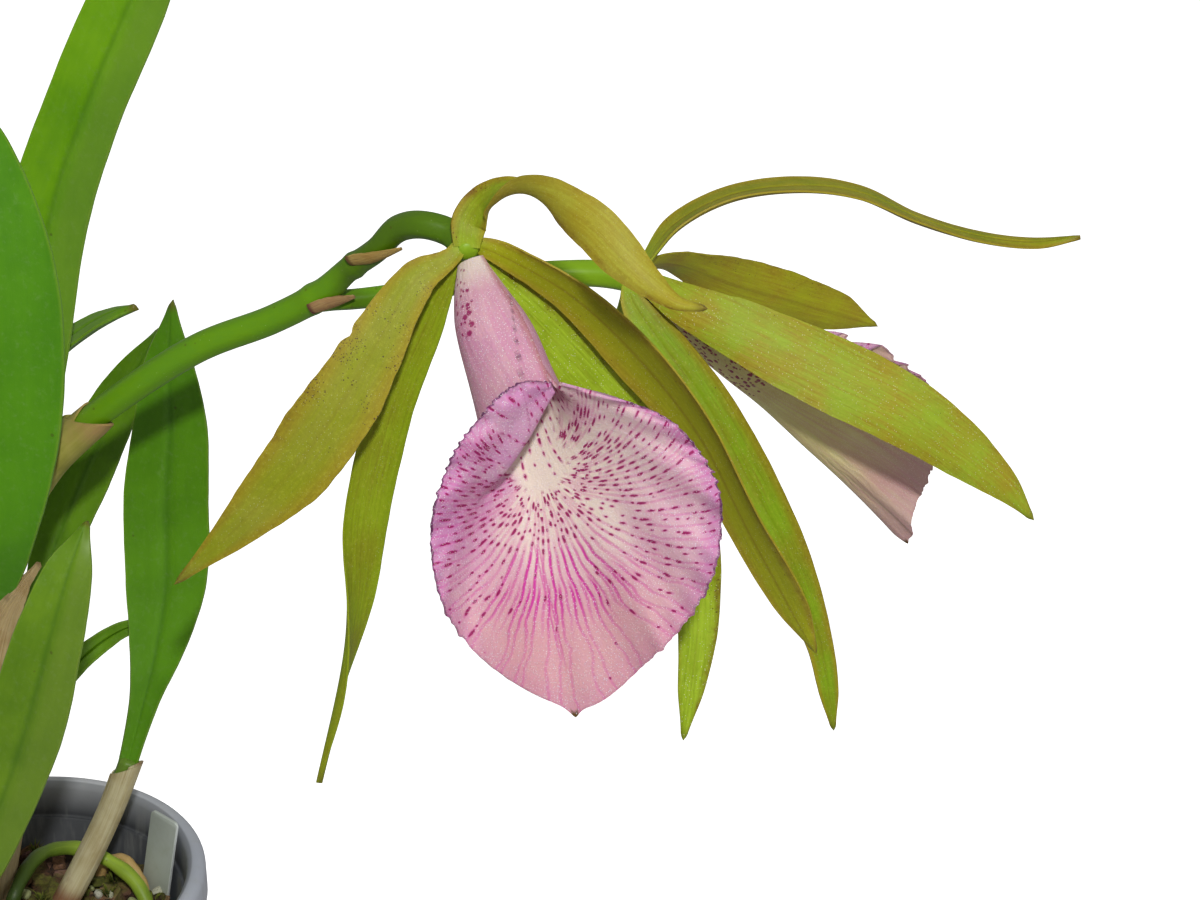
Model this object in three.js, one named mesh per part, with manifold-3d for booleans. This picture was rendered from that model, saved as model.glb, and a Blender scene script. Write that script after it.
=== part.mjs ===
// Potted brassocattleya orchid: a small round pot of bark with seven slender growths,
// one leaf on each, and a flower stalk that carries two blooms.
// Millimetres, +Z up. The origin is the middle of the pot's underside.
// +Y points away from the side that the two blooms face.
import * as THREE from 'three';
import { mergeVertices } from 'three/addons/utils/BufferGeometryUtils.js';
import Module from 'manifold-3d';

const wasm = await Module();
wasm.setup();

// Driving dimensions
const GAP = 0.3; // clearance between neighbouring pieces
const POT_HEIGHT = 73.5;
const POT_RIM_RADIUS = 39.5;
const POT_BASE_RADIUS = 28.5;
const POT_WALL = 1.7;
const POT_FLOOR = 2;
const POT_SIDES = 32;
const LEDGE_HEIGHT = 65.5; // the step inside the pot, under its collar
const COLLAR_INSET = 5.6; // from the rim's outside to the wall's inside, under the step
const DRAIN_HOLES = 6;
const DRAIN_RADIUS = 2.6;
const DRAIN_CIRCLE = 19;
const BARK_LEVEL = 57; // top of the packed bark, which loose chips stand out of
const BARK_CHIPS = 38;
const CHIP_REACH = 31; // how far from the middle the outermost chips lie
const LEAF_SPINE = 2.2; // thickness along a leaf's middle
const LEAF_EDGE = 0.9;
const TEPAL_SPINE = 1.2; // thickness along a petal's or sepal's middle
const TEPAL_EDGE = 0.7;
const SCALE_SPINE = 1; // thickness along the middle of a bract or sheath
const SCALE_EDGE = 0.8;
const LIP_THICKNESS = 0.8;
const LIP_RUFFLE = 0.9; // height of the waves along the lip's margin
const LIP_TEETH = 0.5; // depth of the teeth along the lip's margin
const LIP_ROWS = 11;
const LIP_COLS = 30;

// Where each bloom is, and the turn that points a bloom's own +Z at the viewer
const BLOOM_1 = new THREE.Vector3(99, -41, 223);
const BLOOM_2 = new THREE.Vector3(128, -12, 207);
const VIEW_TILT = THREE.MathUtils.degToRad(24); // how far down the viewer looks
const VIEWER = [0, -Math.cos(VIEW_TILT), Math.sin(VIEW_TILT)];

// Materials
const paint = (color, roughness) => new THREE.MeshStandardMaterial({ color, roughness, metalness: 0 });
const POT_PLASTIC = paint(0x5c6066, 0.45);
const BARK = paint(0x4a3524, 0.95);
const LABEL_PLASTIC = paint(0xb9bdb6, 0.5);
const RHIZOME_SKIN = paint(0x7a5a34, 0.8);
const ROOT_SKIN = paint(0x5d8a2c, 0.6);
const BULB_SKIN = paint(0x6b8f35, 0.5);
const LEAF_SKIN = paint(0x3f7d12, 0.4);
const PAPER_SHEATH = paint(0xcdbf9c, 0.8);
const SPATHE_SKIN = paint(0xa79a4c, 0.6);
const STALK_SKIN = paint(0x5f9a1c, 0.45);
const BRACT_SKIN = paint(0xb08f6a, 0.7);
const TEPAL_SKIN = paint(0x9da528, 0.5);
const LIP_SKIN = paint(0xd69ac6, 0.6);
const COLUMN_SKIN = paint(0xe6e4b8, 0.5);

// Solids

function signedVolume(points, triangles) {
  const cross = new THREE.Vector3();
  let volume = 0;
  for (const [a, b, c] of triangles) {
    volume += points[a].dot(cross.crossVectors(points[b], points[c])) / 6;
  }
  return volume;
}

function closedGeometry(points, triangles) {
  const outward = signedVolume(points, triangles) > 0;
  const faces = outward ? triangles : triangles.map(([a, b, c]) => [a, c, b]);
  const geometry = new THREE.BufferGeometry();
  const numbers = points.flatMap((p) => p.toArray());
  geometry.setAttribute('position', new THREE.Float32BufferAttribute(numbers, 3));
  geometry.setIndex(faces.flat());
  return geometry;
}

function toManifold(geometry) {
  const bare = geometry.clone();
  bare.deleteAttribute('normal');
  bare.deleteAttribute('uv');
  const merged = mergeVertices(bare, 1e-4);
  const vertProperties = new Float32Array(merged.attributes.position.array);
  const triVerts = new Uint32Array(merged.index.array);
  return new wasm.Manifold(new wasm.Mesh({ numProp: 3, vertProperties, triVerts }));
}

function fromManifold(solid) {
  const { vertProperties, triVerts } = solid.getMesh();
  const geometry = new THREE.BufferGeometry();
  geometry.setAttribute('position', new THREE.BufferAttribute(vertProperties, 3));
  geometry.setIndex(new THREE.BufferAttribute(triVerts, 1));
  return geometry;
}

// Cuts the neighbours out of a piece and keeps the largest body that is left
function cutAway(geometry, neighbours) {
  const cut = (solid, other) => solid.subtract(toManifold(other));
  const left = neighbours.reduce(cut, toManifold(geometry));
  const bodies = left.decompose().sort((a, b) => b.volume() - a.volume());
  return fromManifold(bodies[0]);
}

function joined(geometries) {
  return fromManifold(geometries.map(toManifold).reduce((sum, solid) => sum.add(solid)));
}

// A closed sheet: two grids of points that share their diagonals, joined round the edge
function sheet(rows, cols, place) {
  const points = [];
  for (const face of [1, -1]) {
    for (let i = 0; i <= rows; i++) {
      for (let j = 0; j <= cols; j++) points.push(place(i / rows, j / cols, face));
    }
  }
  const below = (rows + 1) * (cols + 1);
  const at = (i, j) => i * (cols + 1) + j;
  const triangles = [];
  const quad = (a, b, c, d) => triangles.push([a, b, c], [a, c, d]);
  for (let i = 0; i < rows; i++) {
    for (let j = 0; j < cols; j++) {
      const corners = [at(i, j), at(i, j + 1), at(i + 1, j + 1), at(i + 1, j)];
      quad(...corners);
      const [a, b, c, d] = corners.map((n) => n + below);
      triangles.push([a, c, b], [a, d, c]);
    }
  }
  for (let i = 0; i < rows; i++) {
    quad(at(i, 0), at(i + 1, 0), at(i + 1, 0) + below, at(i, 0) + below);
    quad(at(i + 1, cols), at(i, cols), at(i, cols) + below, at(i + 1, cols) + below);
  }
  for (let j = 0; j < cols; j++) {
    quad(at(0, j + 1), at(0, j), at(0, j) + below, at(0, j + 1) + below);
    quad(at(rows, j), at(rows, j + 1), at(rows, j + 1) + below, at(rows, j) + below);
  }
  return closedGeometry(points, triangles);
}

// A smooth curve through evenly spaced values, read at t from 0 to 1
function along(values, t) {
  const last = values.length - 1;
  const place = Math.min(t * last, last - 1e-9);
  const i = Math.floor(place);
  const [a, b, c, d] = [i - 1, i, i + 1, i + 2].map((n) => values[Math.min(Math.max(n, 0), last)]);
  const f = place - i;
  return b + 0.5 * f * (c - a + f * (2 * a - 5 * b + 4 * c - d + f * (3 * (b - c) + d - a)));
}

// The curve through the first three numbers of each station
function pathThrough(stations) {
  const places = stations.map(([x, y, z]) => new THREE.Vector3(x, y, z));
  return new THREE.CatmullRomCurve3(places, false, 'centripetal');
}

// A blade is a petal, sepal, leaf or bract. Its stations run along the middle, each
// [x, y, z, width, roll, curl]: roll turns it about its own length, away from facing,
// and curl is how far each half bends up, both in degrees.
function blade(stations, options = {}) {
  const { rows = 12, cols = 4, spine = TEPAL_SPINE, edge = TEPAL_EDGE } = options;
  const { facing = [0, 0, 1], wave = 0, waves = 3, grow = 0 } = options;
  const path = pathThrough(stations);
  const front = new THREE.Vector3(...facing);
  const column = (k) => stations.map((s) => s[k]);
  return sheet(rows, cols, (t, v, face) => {
    const forward = path.getTangent(t);
    const side0 = new THREE.Vector3().crossVectors(forward, front).normalize();
    const inner0 = new THREE.Vector3().crossVectors(side0, forward).normalize();
    const roll = THREE.MathUtils.degToRad(along(column(4), t));
    const side = side0.clone().multiplyScalar(Math.cos(roll));
    side.addScaledVector(inner0, Math.sin(roll));
    const inner = inner0.clone().multiplyScalar(Math.cos(roll));
    inner.addScaledVector(side0, -Math.sin(roll));
    const s = 2 * v - 1;
    const curl = Math.max(THREE.MathUtils.degToRad(along(column(5), t)), 0.01);
    const radius = (Math.max(along(column(3), t), 1) / 2 + grow) / curl;
    const point = path.getPoint(t);
    if (t === 0) point.addScaledVector(forward, -grow);
    if (t === 1) point.addScaledVector(forward, grow);
    point.addScaledVector(side, radius * Math.sin(curl * s));
    const ripple = wave * s * s * Math.sin(Math.PI * waves * t) * Math.sin(Math.PI * t);
    point.addScaledVector(inner, radius * (1 - Math.cos(curl * s)) + ripple * Math.sign(s));
    const outOf = inner.clone().multiplyScalar(Math.cos(curl * s));
    outOf.addScaledVector(side, -Math.sin(curl * s));
    const thickness = edge + (spine - edge) * (1 - s * s) + 2 * grow;
    return point.addScaledVector(outOf, (face * thickness) / 2);
  });
}

// A stem is a root, bulb or stalk: round sections along a path of [x, y, z, diameter],
// with domed ends
function stem(stations, options = {}) {
  const { rows = 12, sides = 8, grow = 0, flatten = 1 } = options;
  const path = pathThrough(stations);
  const frames = path.computeFrenetFrames(rows);
  const diameters = stations.map((s) => s[3]);
  const points = [];
  const ring = (t, frame, shrink, ahead) => {
    const radius = along(diameters, path.getUtoTmapping(t)) / 2 + grow;
    const centre = path.getPointAt(t).addScaledVector(frames.tangents[frame], ahead * radius);
    for (let k = 0; k < sides; k++) {
      const angle = (2 * Math.PI * k) / sides;
      const across = frames.normals[frame].clone().multiplyScalar(Math.cos(angle));
      across.addScaledVector(frames.binormals[frame], Math.sin(angle) * flatten);
      points.push(centre.clone().addScaledVector(across, radius * shrink));
    }
  };
  const [domeWidth, domeHeight] = [0.6, 0.35];
  ring(0, 0, domeWidth, -domeHeight);
  for (let i = 0; i <= rows; i++) ring(i / rows, i, 1, 0);
  ring(1, rows, domeWidth, domeHeight);
  const rings = rows + 3;
  const triangles = [];
  for (let i = 0; i < rings - 1; i++) {
    for (let k = 0; k < sides; k++) {
      const next = (k + 1) % sides;
      const [a, b] = [i * sides + k, i * sides + next];
      triangles.push([a, b, b + sides], [a, b + sides, a + sides]);
    }
  }
  for (let k = 1; k < sides - 1; k++) {
    const top = (rings - 1) * sides;
    triangles.push([0, k + 1, k], [top, top + k, top + k + 1]);
  }
  return closedGeometry(points, triangles);
}

// Nodes

const orchid = new THREE.Group();
orchid.name = 'potted_brassocattleya_orchid';

function addPiece(parent, name, geometry, material) {
  const piece = new THREE.Mesh(geometry, material);
  piece.name = name;
  parent.add(piece);
  return piece;
}

// A profile of [radius, height] points turned round the pot's middle
function turned(profile) {
  const geometry = new THREE.LatheGeometry(profile.map(([r, z]) => new THREE.Vector2(r, z)), POT_SIDES);
  return geometry.rotateX(Math.PI / 2);
}

// Pot: a tapered plastic cup with a rounded collar, a step inside and drain holes
function insideRadius(z) {
  const base = POT_BASE_RADIUS - POT_WALL;
  const top = POT_RIM_RADIUS - COLLAR_INSET;
  return base + ((top - base) * (z - POT_FLOOR)) / (LEDGE_HEIGHT - POT_FLOOR);
}

function potGeometry() {
  const rim = POT_RIM_RADIUS;
  const top = POT_HEIGHT;
  const outside = [
    [0, 0], [POT_BASE_RADIUS - 0.8, 0], [POT_BASE_RADIUS, 0.8],
    [insideRadius(LEDGE_HEIGHT) + POT_WALL, LEDGE_HEIGHT - 1],
    [rim - 1, LEDGE_HEIGHT], [rim, LEDGE_HEIGHT + 1],
  ];
  const lip = [
    [rim, top - 1.6], [rim - 0.7, top - 0.4], [rim - 2, top], [rim - 3.2, top - 0.4],
    [rim - 3.9, top - 1.6],
  ];
  const inside = [
    [rim - 4.6, LEDGE_HEIGHT + 0.8], [insideRadius(LEDGE_HEIGHT), LEDGE_HEIGHT],
    [insideRadius(POT_FLOOR), POT_FLOOR], [0, POT_FLOOR],
  ];
  const cup = turned([...outside, ...lip, ...inside]);
  const holes = [];
  for (let i = 0; i < DRAIN_HOLES; i++) {
    const angle = (2 * Math.PI * i) / DRAIN_HOLES;
    const hole = new THREE.CylinderGeometry(DRAIN_RADIUS, DRAIN_RADIUS, 4 * POT_FLOOR, 10);
    hole.rotateX(Math.PI / 2);
    hole.translate(DRAIN_CIRCLE * Math.cos(angle), DRAIN_CIRCLE * Math.sin(angle), POT_FLOOR / 2);
    holes.push(hole);
  }
  return cutAway(cup, holes);
}

addPiece(orchid, 'pot', potGeometry(), POT_PLASTIC);

// Plant label: a bare tag pushed into the bark beside the wall
const LABEL = {
  width: 8.6, thickness: 1, bottom: 46, top: 76.5, foot: [23.6, 13.8], head: [29, 17.4], turn: -42,
};

function labelGeometry(grow = 0) {
  const height = LABEL.top - LABEL.bottom;
  const size = [LABEL.width, LABEL.thickness, height].map((length) => length + 2 * grow);
  const tag = new THREE.BoxGeometry(...size);
  tag.rotateZ(THREE.MathUtils.degToRad(LABEL.turn));
  const lean = new THREE.Matrix4().makeShear(
    0, 0, 0, 0, (LABEL.head[0] - LABEL.foot[0]) / height, (LABEL.head[1] - LABEL.foot[1]) / height,
  );
  tag.applyMatrix4(lean);
  const middle = [0, 1].map((k) => (LABEL.foot[k] + LABEL.head[k]) / 2);
  tag.translate(middle[0], middle[1], (LABEL.bottom + LABEL.top) / 2);
  return tag;
}

addPiece(orchid, 'plant_label', labelGeometry(), LABEL_PLASTIC);

// Rhizome: the creeping stem, half sunk in the bark, with a side branch to the front
const RHIZOME_MAIN = [
  [-27, 16, 58, 5], [-19, 11, 60.5, 6.5], [-10, 4, 61.5, 7], [-2, 1.5, 61.5, 7],
  [7, 2.5, 60.5, 6.5],
  [12, 4, 58.5, 4.5],
];
const RHIZOME_BRANCH = [[-9, 4, 61.5, 6], [-9, -4, 61.5, 6.5], [-14, -12, 60.5, 6], [-18, -16, 58, 4.5]];
const rhizomeGeometry = (grow = 0) => joined([
  stem(RHIZOME_MAIN, { rows: 14, grow }),
  stem(RHIZOME_BRANCH, { rows: 8, grow }),
]);
addPiece(orchid, 'rhizome', rhizomeGeometry(), RHIZOME_SKIN);

// Growths: a slender pseudobulb from the rhizome, and the leaf that stands on its tip.
// Bulb stations are [x, y, z, diameter], leaf stations as in blade.
const GROWTHS = {
  a: {
    bulb: [[-9, -5, 62, 3.6], [-4, -8, 90, 4.6], [3, -11, 120, 5.4], [7.5, -13.5, 142, 7]],
    leaf: [
      [7, -15, 140, 5, 0, 30], [8, -20, 158, 18.4, 0, 16], [11.4, -22, 180, 27, 0, 14],
      [13.6, -22, 200, 29, 0, 14],
      [14, -20, 217, 25, 0, 14], [12.5, -16, 233, 15, 0, 16], [10, -12, 245, 1.2, 0, 10],
    ],
  },
  b: {
    bulb: [[-17, 9, 62, 3.6], [-11, 13, 90, 4.4], [-1, 18, 130, 5]],
    leaf: [
      [-1, 18, 129, 4, 0, 30], [3, 20, 149, 12, 0, 30], [9, 22, 176, 15.5, 0, 26],
      [17, 20, 209, 16, 0, 24],
      [26, 16, 230, 15, 0, 22], [38, 10, 253, 14.4, 0, 20], [47, 4, 269, 9.6, 0, 18],
      [53, -2, 282, 1.2, 0, 10],
    ],
  },
  c: {
    bulb: [[-24, 14, 60, 3.4], [-17, 20, 90, 4], [-8, 25, 127, 4.4]],
    leaf: [
      [-8, 25, 126, 4, 0, 30], [-3, 31, 148, 7.5, 20, 30], [4, 32, 164, 8, 40, 30],
      [12, 30, 176, 7.5, 50, 30],
      [20, 27, 183, 6, 50, 24], [26, 24, 187, 4, 50, 20], [31.2, 22, 189.5, 1.2, 50, 10],
    ],
  },
  d: {
    bulb: [[8, 3, 61, 3.6], [14, 7, 72, 3.8], [20, 9.5, 84, 4], [24, 11, 94, 4.2]],
    leaf: [
      [23.6, 10.8, 93, 4, 0, 40], [27.8, 14, 107, 6.5, 0, 40], [30.7, 17, 118, 11.8, 0, 24],
      [33, 20, 131, 16.5, 0, 16], [34, 22, 148, 17.2, 0, 14], [36, 22, 164, 15, 0, 14],
      [37, 21, 178, 10, 0, 14], [39, 18, 192, 1.2, 0, 10],
    ],
  },
  e: {
    bulb: [[-4, 1.5, 62, 3.4], [0, 7, 82, 3.6], [3, 14, 105, 4], [4.5, 20, 122, 4.2]],
    leaf: [
      [4.3, 20, 121, 4, 0, 30], [9, 25, 134, 9.5, 10, 20], [16, 29, 150, 12.5, 15, 16],
      [22, 31, 162, 11.5, 15, 16],
      [28, 31, 172, 8, 15, 16], [34, 30, 182, 1.2, 10, 10],
    ],
  },
  f: {
    bulb: [[-14, -12, 61, 3.6], [-13, -19, 71, 4], [-11, -24, 80, 4.4]],
    leaf: [
      [-11, -24.5, 79, 4, 0, 30], [1.3, -30, 95, 11, 0, 24], [9.8, -34, 112, 12.8, 0, 22],
      [17.8, -37, 132, 14.4, 0, 22],
      [23.8, -38, 150, 12.6, 0, 22], [27.9, -36, 162, 8.6, 0, 20], [31, -33, 170, 1.2, 0, 10],
    ],
  },
  g: {
    bulb: [[-9.5, 2, 62, 3.2], [-6, 2.5, 80, 3.4], [0, 5, 94, 3.6]],
    leaf: [
      [-0.4, 4.8, 93, 3.2, 0, 40], [6, 10, 105, 5.5, 0, 50], [11, 15, 111, 5.5, 0, 60],
      [17.2, 21, 115.4, 4.8, 0, 60], [22.8, 27, 116.6, 3.2, 0, 50], [28.4, 30, 116.4, 1.2, 0, 10],
    ],
  },
};
const leafOptions = { facing: VIEWER, spine: LEAF_SPINE, edge: LEAF_EDGE, rows: 12 };
const leafGeometry = (growth, grow = 0) => blade(growth.leaf, { ...leafOptions, grow });
const bulbGeometry = (growth, grow = 0) => stem(growth.bulb, { rows: 6, sides: 7, grow });

// Flower stalk: it leaves the tip of growth a and forks at its first joint
const STALK_MAIN = [
  [8, -11, 141, 4.6], [11.8, -11.6, 156, 5], [17.4, -12.4, 169, 5.2], [24, -13.8, 176.8, 5.1],
  [31, -15, 183.2, 5], [50, -19, 197, 5.1], [64, -22, 203.6, 5],
  [73, -25, 209.4, 4.9], [78.4, -28, 215, 4.2], [83.4, -31, 219.4, 4.2], [87.4, -33.6, 224, 4.5],
  [92, -37, 225.8, 4.6], [96.5, -38.4, 224.8, 4.7], [99, -41, 223, 4.8],
];
const STALK_FORK = [
  [71, -24, 208, 3.4], [77, -23, 207.6, 3.6], [89, -18, 207.4, 3.8], [103, -12, 207.8, 4.2],
  [114, -9, 207.4, 4.7], [121.5, -9.4, 207.4, 4.9], [128, -12, 207, 4.8],
];
const stalkGeometry = (grow = 0) => joined([
  stem(STALK_MAIN, { rows: 30, grow }),
  stem(STALK_FORK, { rows: 16, grow }),
]);
addPiece(orchid, 'flower_stalk', stalkGeometry(), STALK_SKIN);

// Each bulb's foot fits over the rhizome, and its tip holds the leaf's and the stalk's ends
for (const [letter, growth] of Object.entries(GROWTHS)) {
  const seats = [rhizomeGeometry(GAP), leafGeometry(growth, GAP)];
  if (letter === 'a') seats.push(stalkGeometry(GAP));
  addPiece(orchid, `pseudobulb_${letter}`, cutAway(bulbGeometry(growth), seats), BULB_SKIN);
  addPiece(orchid, `leaf_${letter}`, leafGeometry(growth), LEAF_SKIN);
}

// Papery sheaths round two of the bulbs, each open along one side
const SHEATH_A = [
  [-4, -11.2, 90, 8.4, 0, 80], [3, -14.5, 120, 9, 0, 75], [5.6, -16.7, 133, 10, 0, 55],
  [9.6, -18.3, 143, 7.5, 0, 40], [14.8, -20, 150.6, 3, 0, 20], [18.6, -20.6, 155.6, 1.2, 0, 10],
];
const SHEATH_D = [[9.5, 4, 64, 5.6], [14, 7, 72, 5.6], [20, 9.5, 84, 5.5], [24.4, 11.4, 95, 5.8]];
const scaleOptions = { spine: SCALE_SPINE, edge: SCALE_EDGE };
addPiece(orchid, 'sheath_a', cutAway(
  blade(SHEATH_A, { ...scaleOptions, facing: [0.15, 0.9, -0.4], cols: 6 }),
  [bulbGeometry(GROWTHS.a, GAP), leafGeometry(GROWTHS.a, GAP), stalkGeometry(GAP), rhizomeGeometry(GAP)],
), PAPER_SHEATH);
addPiece(orchid, 'sheath_d', cutAway(
  stem(SHEATH_D, { rows: 8 }),
  [bulbGeometry(GROWTHS.d, GAP), leafGeometry(GROWTHS.d, GAP), rhizomeGeometry(GAP)],
), PAPER_SHEATH);

// Spathe round the foot of the flower stalk, and a bract under each of its joints
const SPATHE = [
  [10.6, -11.4, 152, 6.4], [14.2, -12, 162.4, 7.6], [20.2, -13, 172.6, 9], [29.6, -14.8, 182, 8.8],
];
const BRACT_1 = [
  [71.6, -26.4, 205.6, 4.4, 0, 60], [75, -27, 207, 4.6, 0, 60], [79, -26.4, 208.4, 1.2, 0, 20],
];
const BRACT_2 = [
  [79.4, -30.4, 215.6, 5, 0, 70], [83, -32.6, 216.8, 5, 0, 70], [88, -34.6, 219.6, 1.2, 0, 20],
];
addPiece(orchid, 'spathe', cutAway(
  stem(SPATHE, { rows: 7, flatten: 0.8 }),
  [stalkGeometry(GAP), leafGeometry(GROWTHS.a, GAP)],
), SPATHE_SKIN);
[BRACT_1, BRACT_2].forEach((stations, i) => {
  const scale = blade(stations, { ...scaleOptions, facing: [-0.5, 0.6, 0.62], rows: 6 });
  addPiece(orchid, `bract_${i + 1}`, cutAway(scale, [stalkGeometry(GAP)]), BRACT_SKIN);
});

// Roots: they leave the rhizome, arch over the bark and go down into it
const ROOTS = [
  [[-1, -1, 63, 3], [0.5, -1, 69, 3], [2.5, 6, 72, 3], [5, 12, 71.5, 3], [10, 16, 69.5, 3],
    [15.6, 16, 67, 3], [22.2, 13, 63.4, 3], [27, 8, 57, 2.8]],
  [[12, 20, 55, 2.2], [14.5, 20.8, 62, 2.2], [18.6, 19.2, 64.8, 2.2], [22.6, 16.2, 62.2, 2.2],
    [25.2, 12.2, 56, 2.2]],
  [[-13, -11, 62, 2.6], [-18, -14, 65, 2.6], [-24, -15, 62, 2.6], [-27, -14, 54, 2.4]],
  [[-26, 14, 60, 2.6], [-29, 8, 63.5, 2.6], [-30, 1, 61, 2.6], [-29, -4, 53, 2.4]],
  [[3, 1, 63, 2.6], [8, -6, 65, 2.6], [14, -13, 62, 2.6], [17, -17, 54, 2.4]],
];
const rootGeometry = (stations, grow = 0) => stem(stations, { rows: 10, sides: 6, grow });
ROOTS.forEach((stations, i) => {
  const seats = [rhizomeGeometry(GAP), bulbGeometry(GROWTHS.d, GAP), bulbGeometry(GROWTHS.f, GAP)];
  addPiece(orchid, `root_${i + 1}`, cutAway(rootGeometry(stations), seats), ROOT_SKIN);
});

// Bark: packed solid in the pot, with loose chips fused to its top and a plain hole for
// everything that stands in it
function seededRandom(seed) {
  let state = seed;
  return () => {
    state = (state * 1664525 + 1013904223) % 4294967296;
    return state / 4294967296;
  };
}

function barkChip(random) {
  const [length, width, thickness] = [5 + 6 * random(), 4 + 3 * random(), 3 + 2 * random()];
  const chip = new THREE.BoxGeometry(length, width, thickness);
  chip.rotateX(0.5 * (random() - 0.5));
  chip.rotateY(0.6 * (random() - 0.5));
  chip.rotateZ(Math.PI * random());
  return chip;
}

function barkGeometry() {
  const random = seededRandom(7);
  const floor = POT_FLOOR + GAP;
  const packed = (top) => toManifold(turned([
    [0, floor], [insideRadius(POT_FLOOR) - 2 * GAP, floor], [insideRadius(top) - 2 * GAP, top],
    [0, top],
  ]));
  let bark = packed(BARK_LEVEL);
  const goldenAngle = Math.PI * (3 - Math.sqrt(5));
  for (let i = 0; i < BARK_CHIPS; i++) {
    const reach = CHIP_REACH * Math.sqrt((i + 0.5) / BARK_CHIPS);
    const angle = i * goldenAngle;
    const chip = barkChip(random);
    chip.translate(reach * Math.cos(angle), reach * Math.sin(angle), BARK_LEVEL + 0.5);
    bark = bark.add(toManifold(chip));
  }
  bark = bark.intersect(packed(LEDGE_HEIGHT - 1));
  const standing = [labelGeometry(GAP), rhizomeGeometry(GAP)];
  standing.push(...ROOTS.map((stations) => rootGeometry(stations, GAP)));
  standing.push(...Object.values(GROWTHS).map((growth) => bulbGeometry(growth, GAP)));
  standing.push(stem(SHEATH_D, { rows: 8, grow: GAP }));
  return cutAway(fromManifold(bark), standing);
}

addPiece(orchid, 'bark_substrate', barkGeometry(), BARK);

// Blooms. In a bloom's own group the origin is the end of its stalk, +X is the viewer's
// right, +Y up and +Z towards the viewer. Tepal stations are as in blade.
const TEPALS_1 = {
  dorsal_sepal: [
    [0.4, 2.3, 2.2, 5.4, 0, 25], [0.8, 4.2, 2.4, 6.2, 0, 35], [3, 6.9, 4, 6.4, 20, 40],
    [5.8, 8.1, 7.6, 6.4, 45, 30], [9.4, 8.3, 12, 6.8, 88, 20], [12.8, 7.2, 16, 7, 125, 15],
    [16.4, 5, 19, 7.2, 150, 15], [20.8, 1.5, 21.5, 7.6, 165, 15], [25, -3, 22.5, 7, 172, 15],
    [29.2, -6.9, 22.5, 4.8, 180, 20], [33.4, -10, 21.5, 2.4, 180, 20],
    [38.2, -10.9, 20, 1, 180, 10],
  ],
  petal_left: [
    [-2.6, -1.6, 1.6, 3.2, 0, 10], [-7.9, -5.3, 3.1, 6.4, 0, 10], [-15.1, -17, 2.2, 10.2, 0, 8],
    [-22, -27.7, -0.3, 12.6, 0, 8], [-28.7, -36, -4, 12, 0, 10], [-36.6, -43.7, -8.5, 8, 0, 10],
    [-50.4, -55.4, -17, 1, 0, 5],
  ],
  petal_right: [
    [3.3, 0.4, -0.4, 3.2, -30, 20], [9, -2, -1, 6.2, -40, 30], [17.9, -7, -4, 9.6, -52, 30],
    [28.6, -16.6, -9.8, 12.4, -58, 30], [39.2, -29.7, -16, 12.6, -58, 30],
    [47.9, -46, -23, 11, -55, 25],
    [55.3, -59.4, -30, 7.4, -45, 15], [60.2, -68.6, -35, 1, -30, 5],
  ],
  lateral_sepal_left: [
    [-2.6, -2.6, -2, 3.4, 0, 20], [-7.4, -12.6, -7.5, 6.4, 0, 30], [-13.4, -25.8, -14, 8, 5, 40],
    [-18.6, -43.8, -21, 8.4, 20, 45], [-21, -60.5, -27, 7.4, 60, 40],
    [-24.2, -76.6, -30.5, 5, 100, 30],
    [-28, -91.7, -34, 1, 110, 5],
  ],
  lateral_sepal_right: [
    [2, -2.3, -3, 3.4, 0, 20], [9.6, -9.8, -8.5, 8, 0, 25], [19.2, -19.4, -17, 9.8, 0, 25],
    [29.6, -31.4, -25, 10.4, 0, 20], [37.5, -46.7, -32.5, 9.8, 0, 15],
    [39.4, -63, -38.5, 7.6, 0, 12],
    [38.2, -76, -41.5, 4.8, 0, 10], [36.9, -85.2, -43.4, 1, 0, 5],
  ],
};
const TEPALS_2 = {
  dorsal_sepal: [
    [0.8, 3.2, -0.6, 3.6, 60, 30], [6.1, 9.6, 0, 7, 62, 30], [15.6, 14.8, -1.5, 8.6, 66, 25],
    [28.9, 17.1, -5.5, 8.6, 66, 20], [39.9, 16.2, -9.2, 7.8, 68, 15],
    [50.9, 12.1, -13.2, 6.6, 70, 15],
    [62.1, 9.1, -15.7, 5.2, 60, 15], [72.8, 8, -16.2, 3.6, 50, 15], [80.8, 9.1, -14.6, 1, 40, 5],
  ],
  petal_near: [
    [0.9, -0.3, 1.9, 3.4, 180, 10], [7.9, -4.5, 5, 7.6, 180, 10], [19, -9.8, 7, 11, 180, 8],
    [32.9, -16.6, 7, 13.2, 180, 8], [46.2, -23.1, 5, 12.4, 180, 8], [57.3, -30.4, 0.7, 9.6, 180, 8],
    [65, -36.3, -3, 5.6, 180, 8], [70.6, -42.3, -6.8, 1, 180, 5],
  ],
  petal_far: [
    [0.5, 2.5, -2.6, 3.2, 95, 10], [6.6, 4.7, -16, 7.6, 115, 12], [19, 1.8, -34, 11, 145, 12],
    [30.5, -0.3, -48, 11.2, 150, 12], [40.7, -2.2, -59, 8.4, 150, 10], [49.9, -4, -69.7, 1, 150, 5],
  ],
  lateral_sepal_near: [
    [-1.7, -3.1, 0.9, 3.4, 0, 20], [2, -9, 0.6, 7.8, 0, 30], [10.3, -20, -1.5, 9.4, 0, 30],
    [18.9, -34.4, -5.6, 10, 0, 30], [27, -49.7, -11.2, 8.2, 0, 30],
    [33.2, -65.1, -18, 5.2, 0, 25],
    [35.4, -74.8, -22.3, 3.8, 0, 20], [36.7, -82.4, -25.8, 1, 0, 5],
  ],
  lateral_sepal_far: [
    [-2, -1.8, -2.8, 3, 0, 20], [-2.2, -10.5, -18, 7.4, 0, 30], [1.5, -22.5, -40, 9.2, 0, 30],
    [5, -34, -60, 9.2, 0, 30], [9, -44, -77, 6.4, 0, 20], [12, -52, -89, 1, 0, 5],
  ],
};

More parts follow.
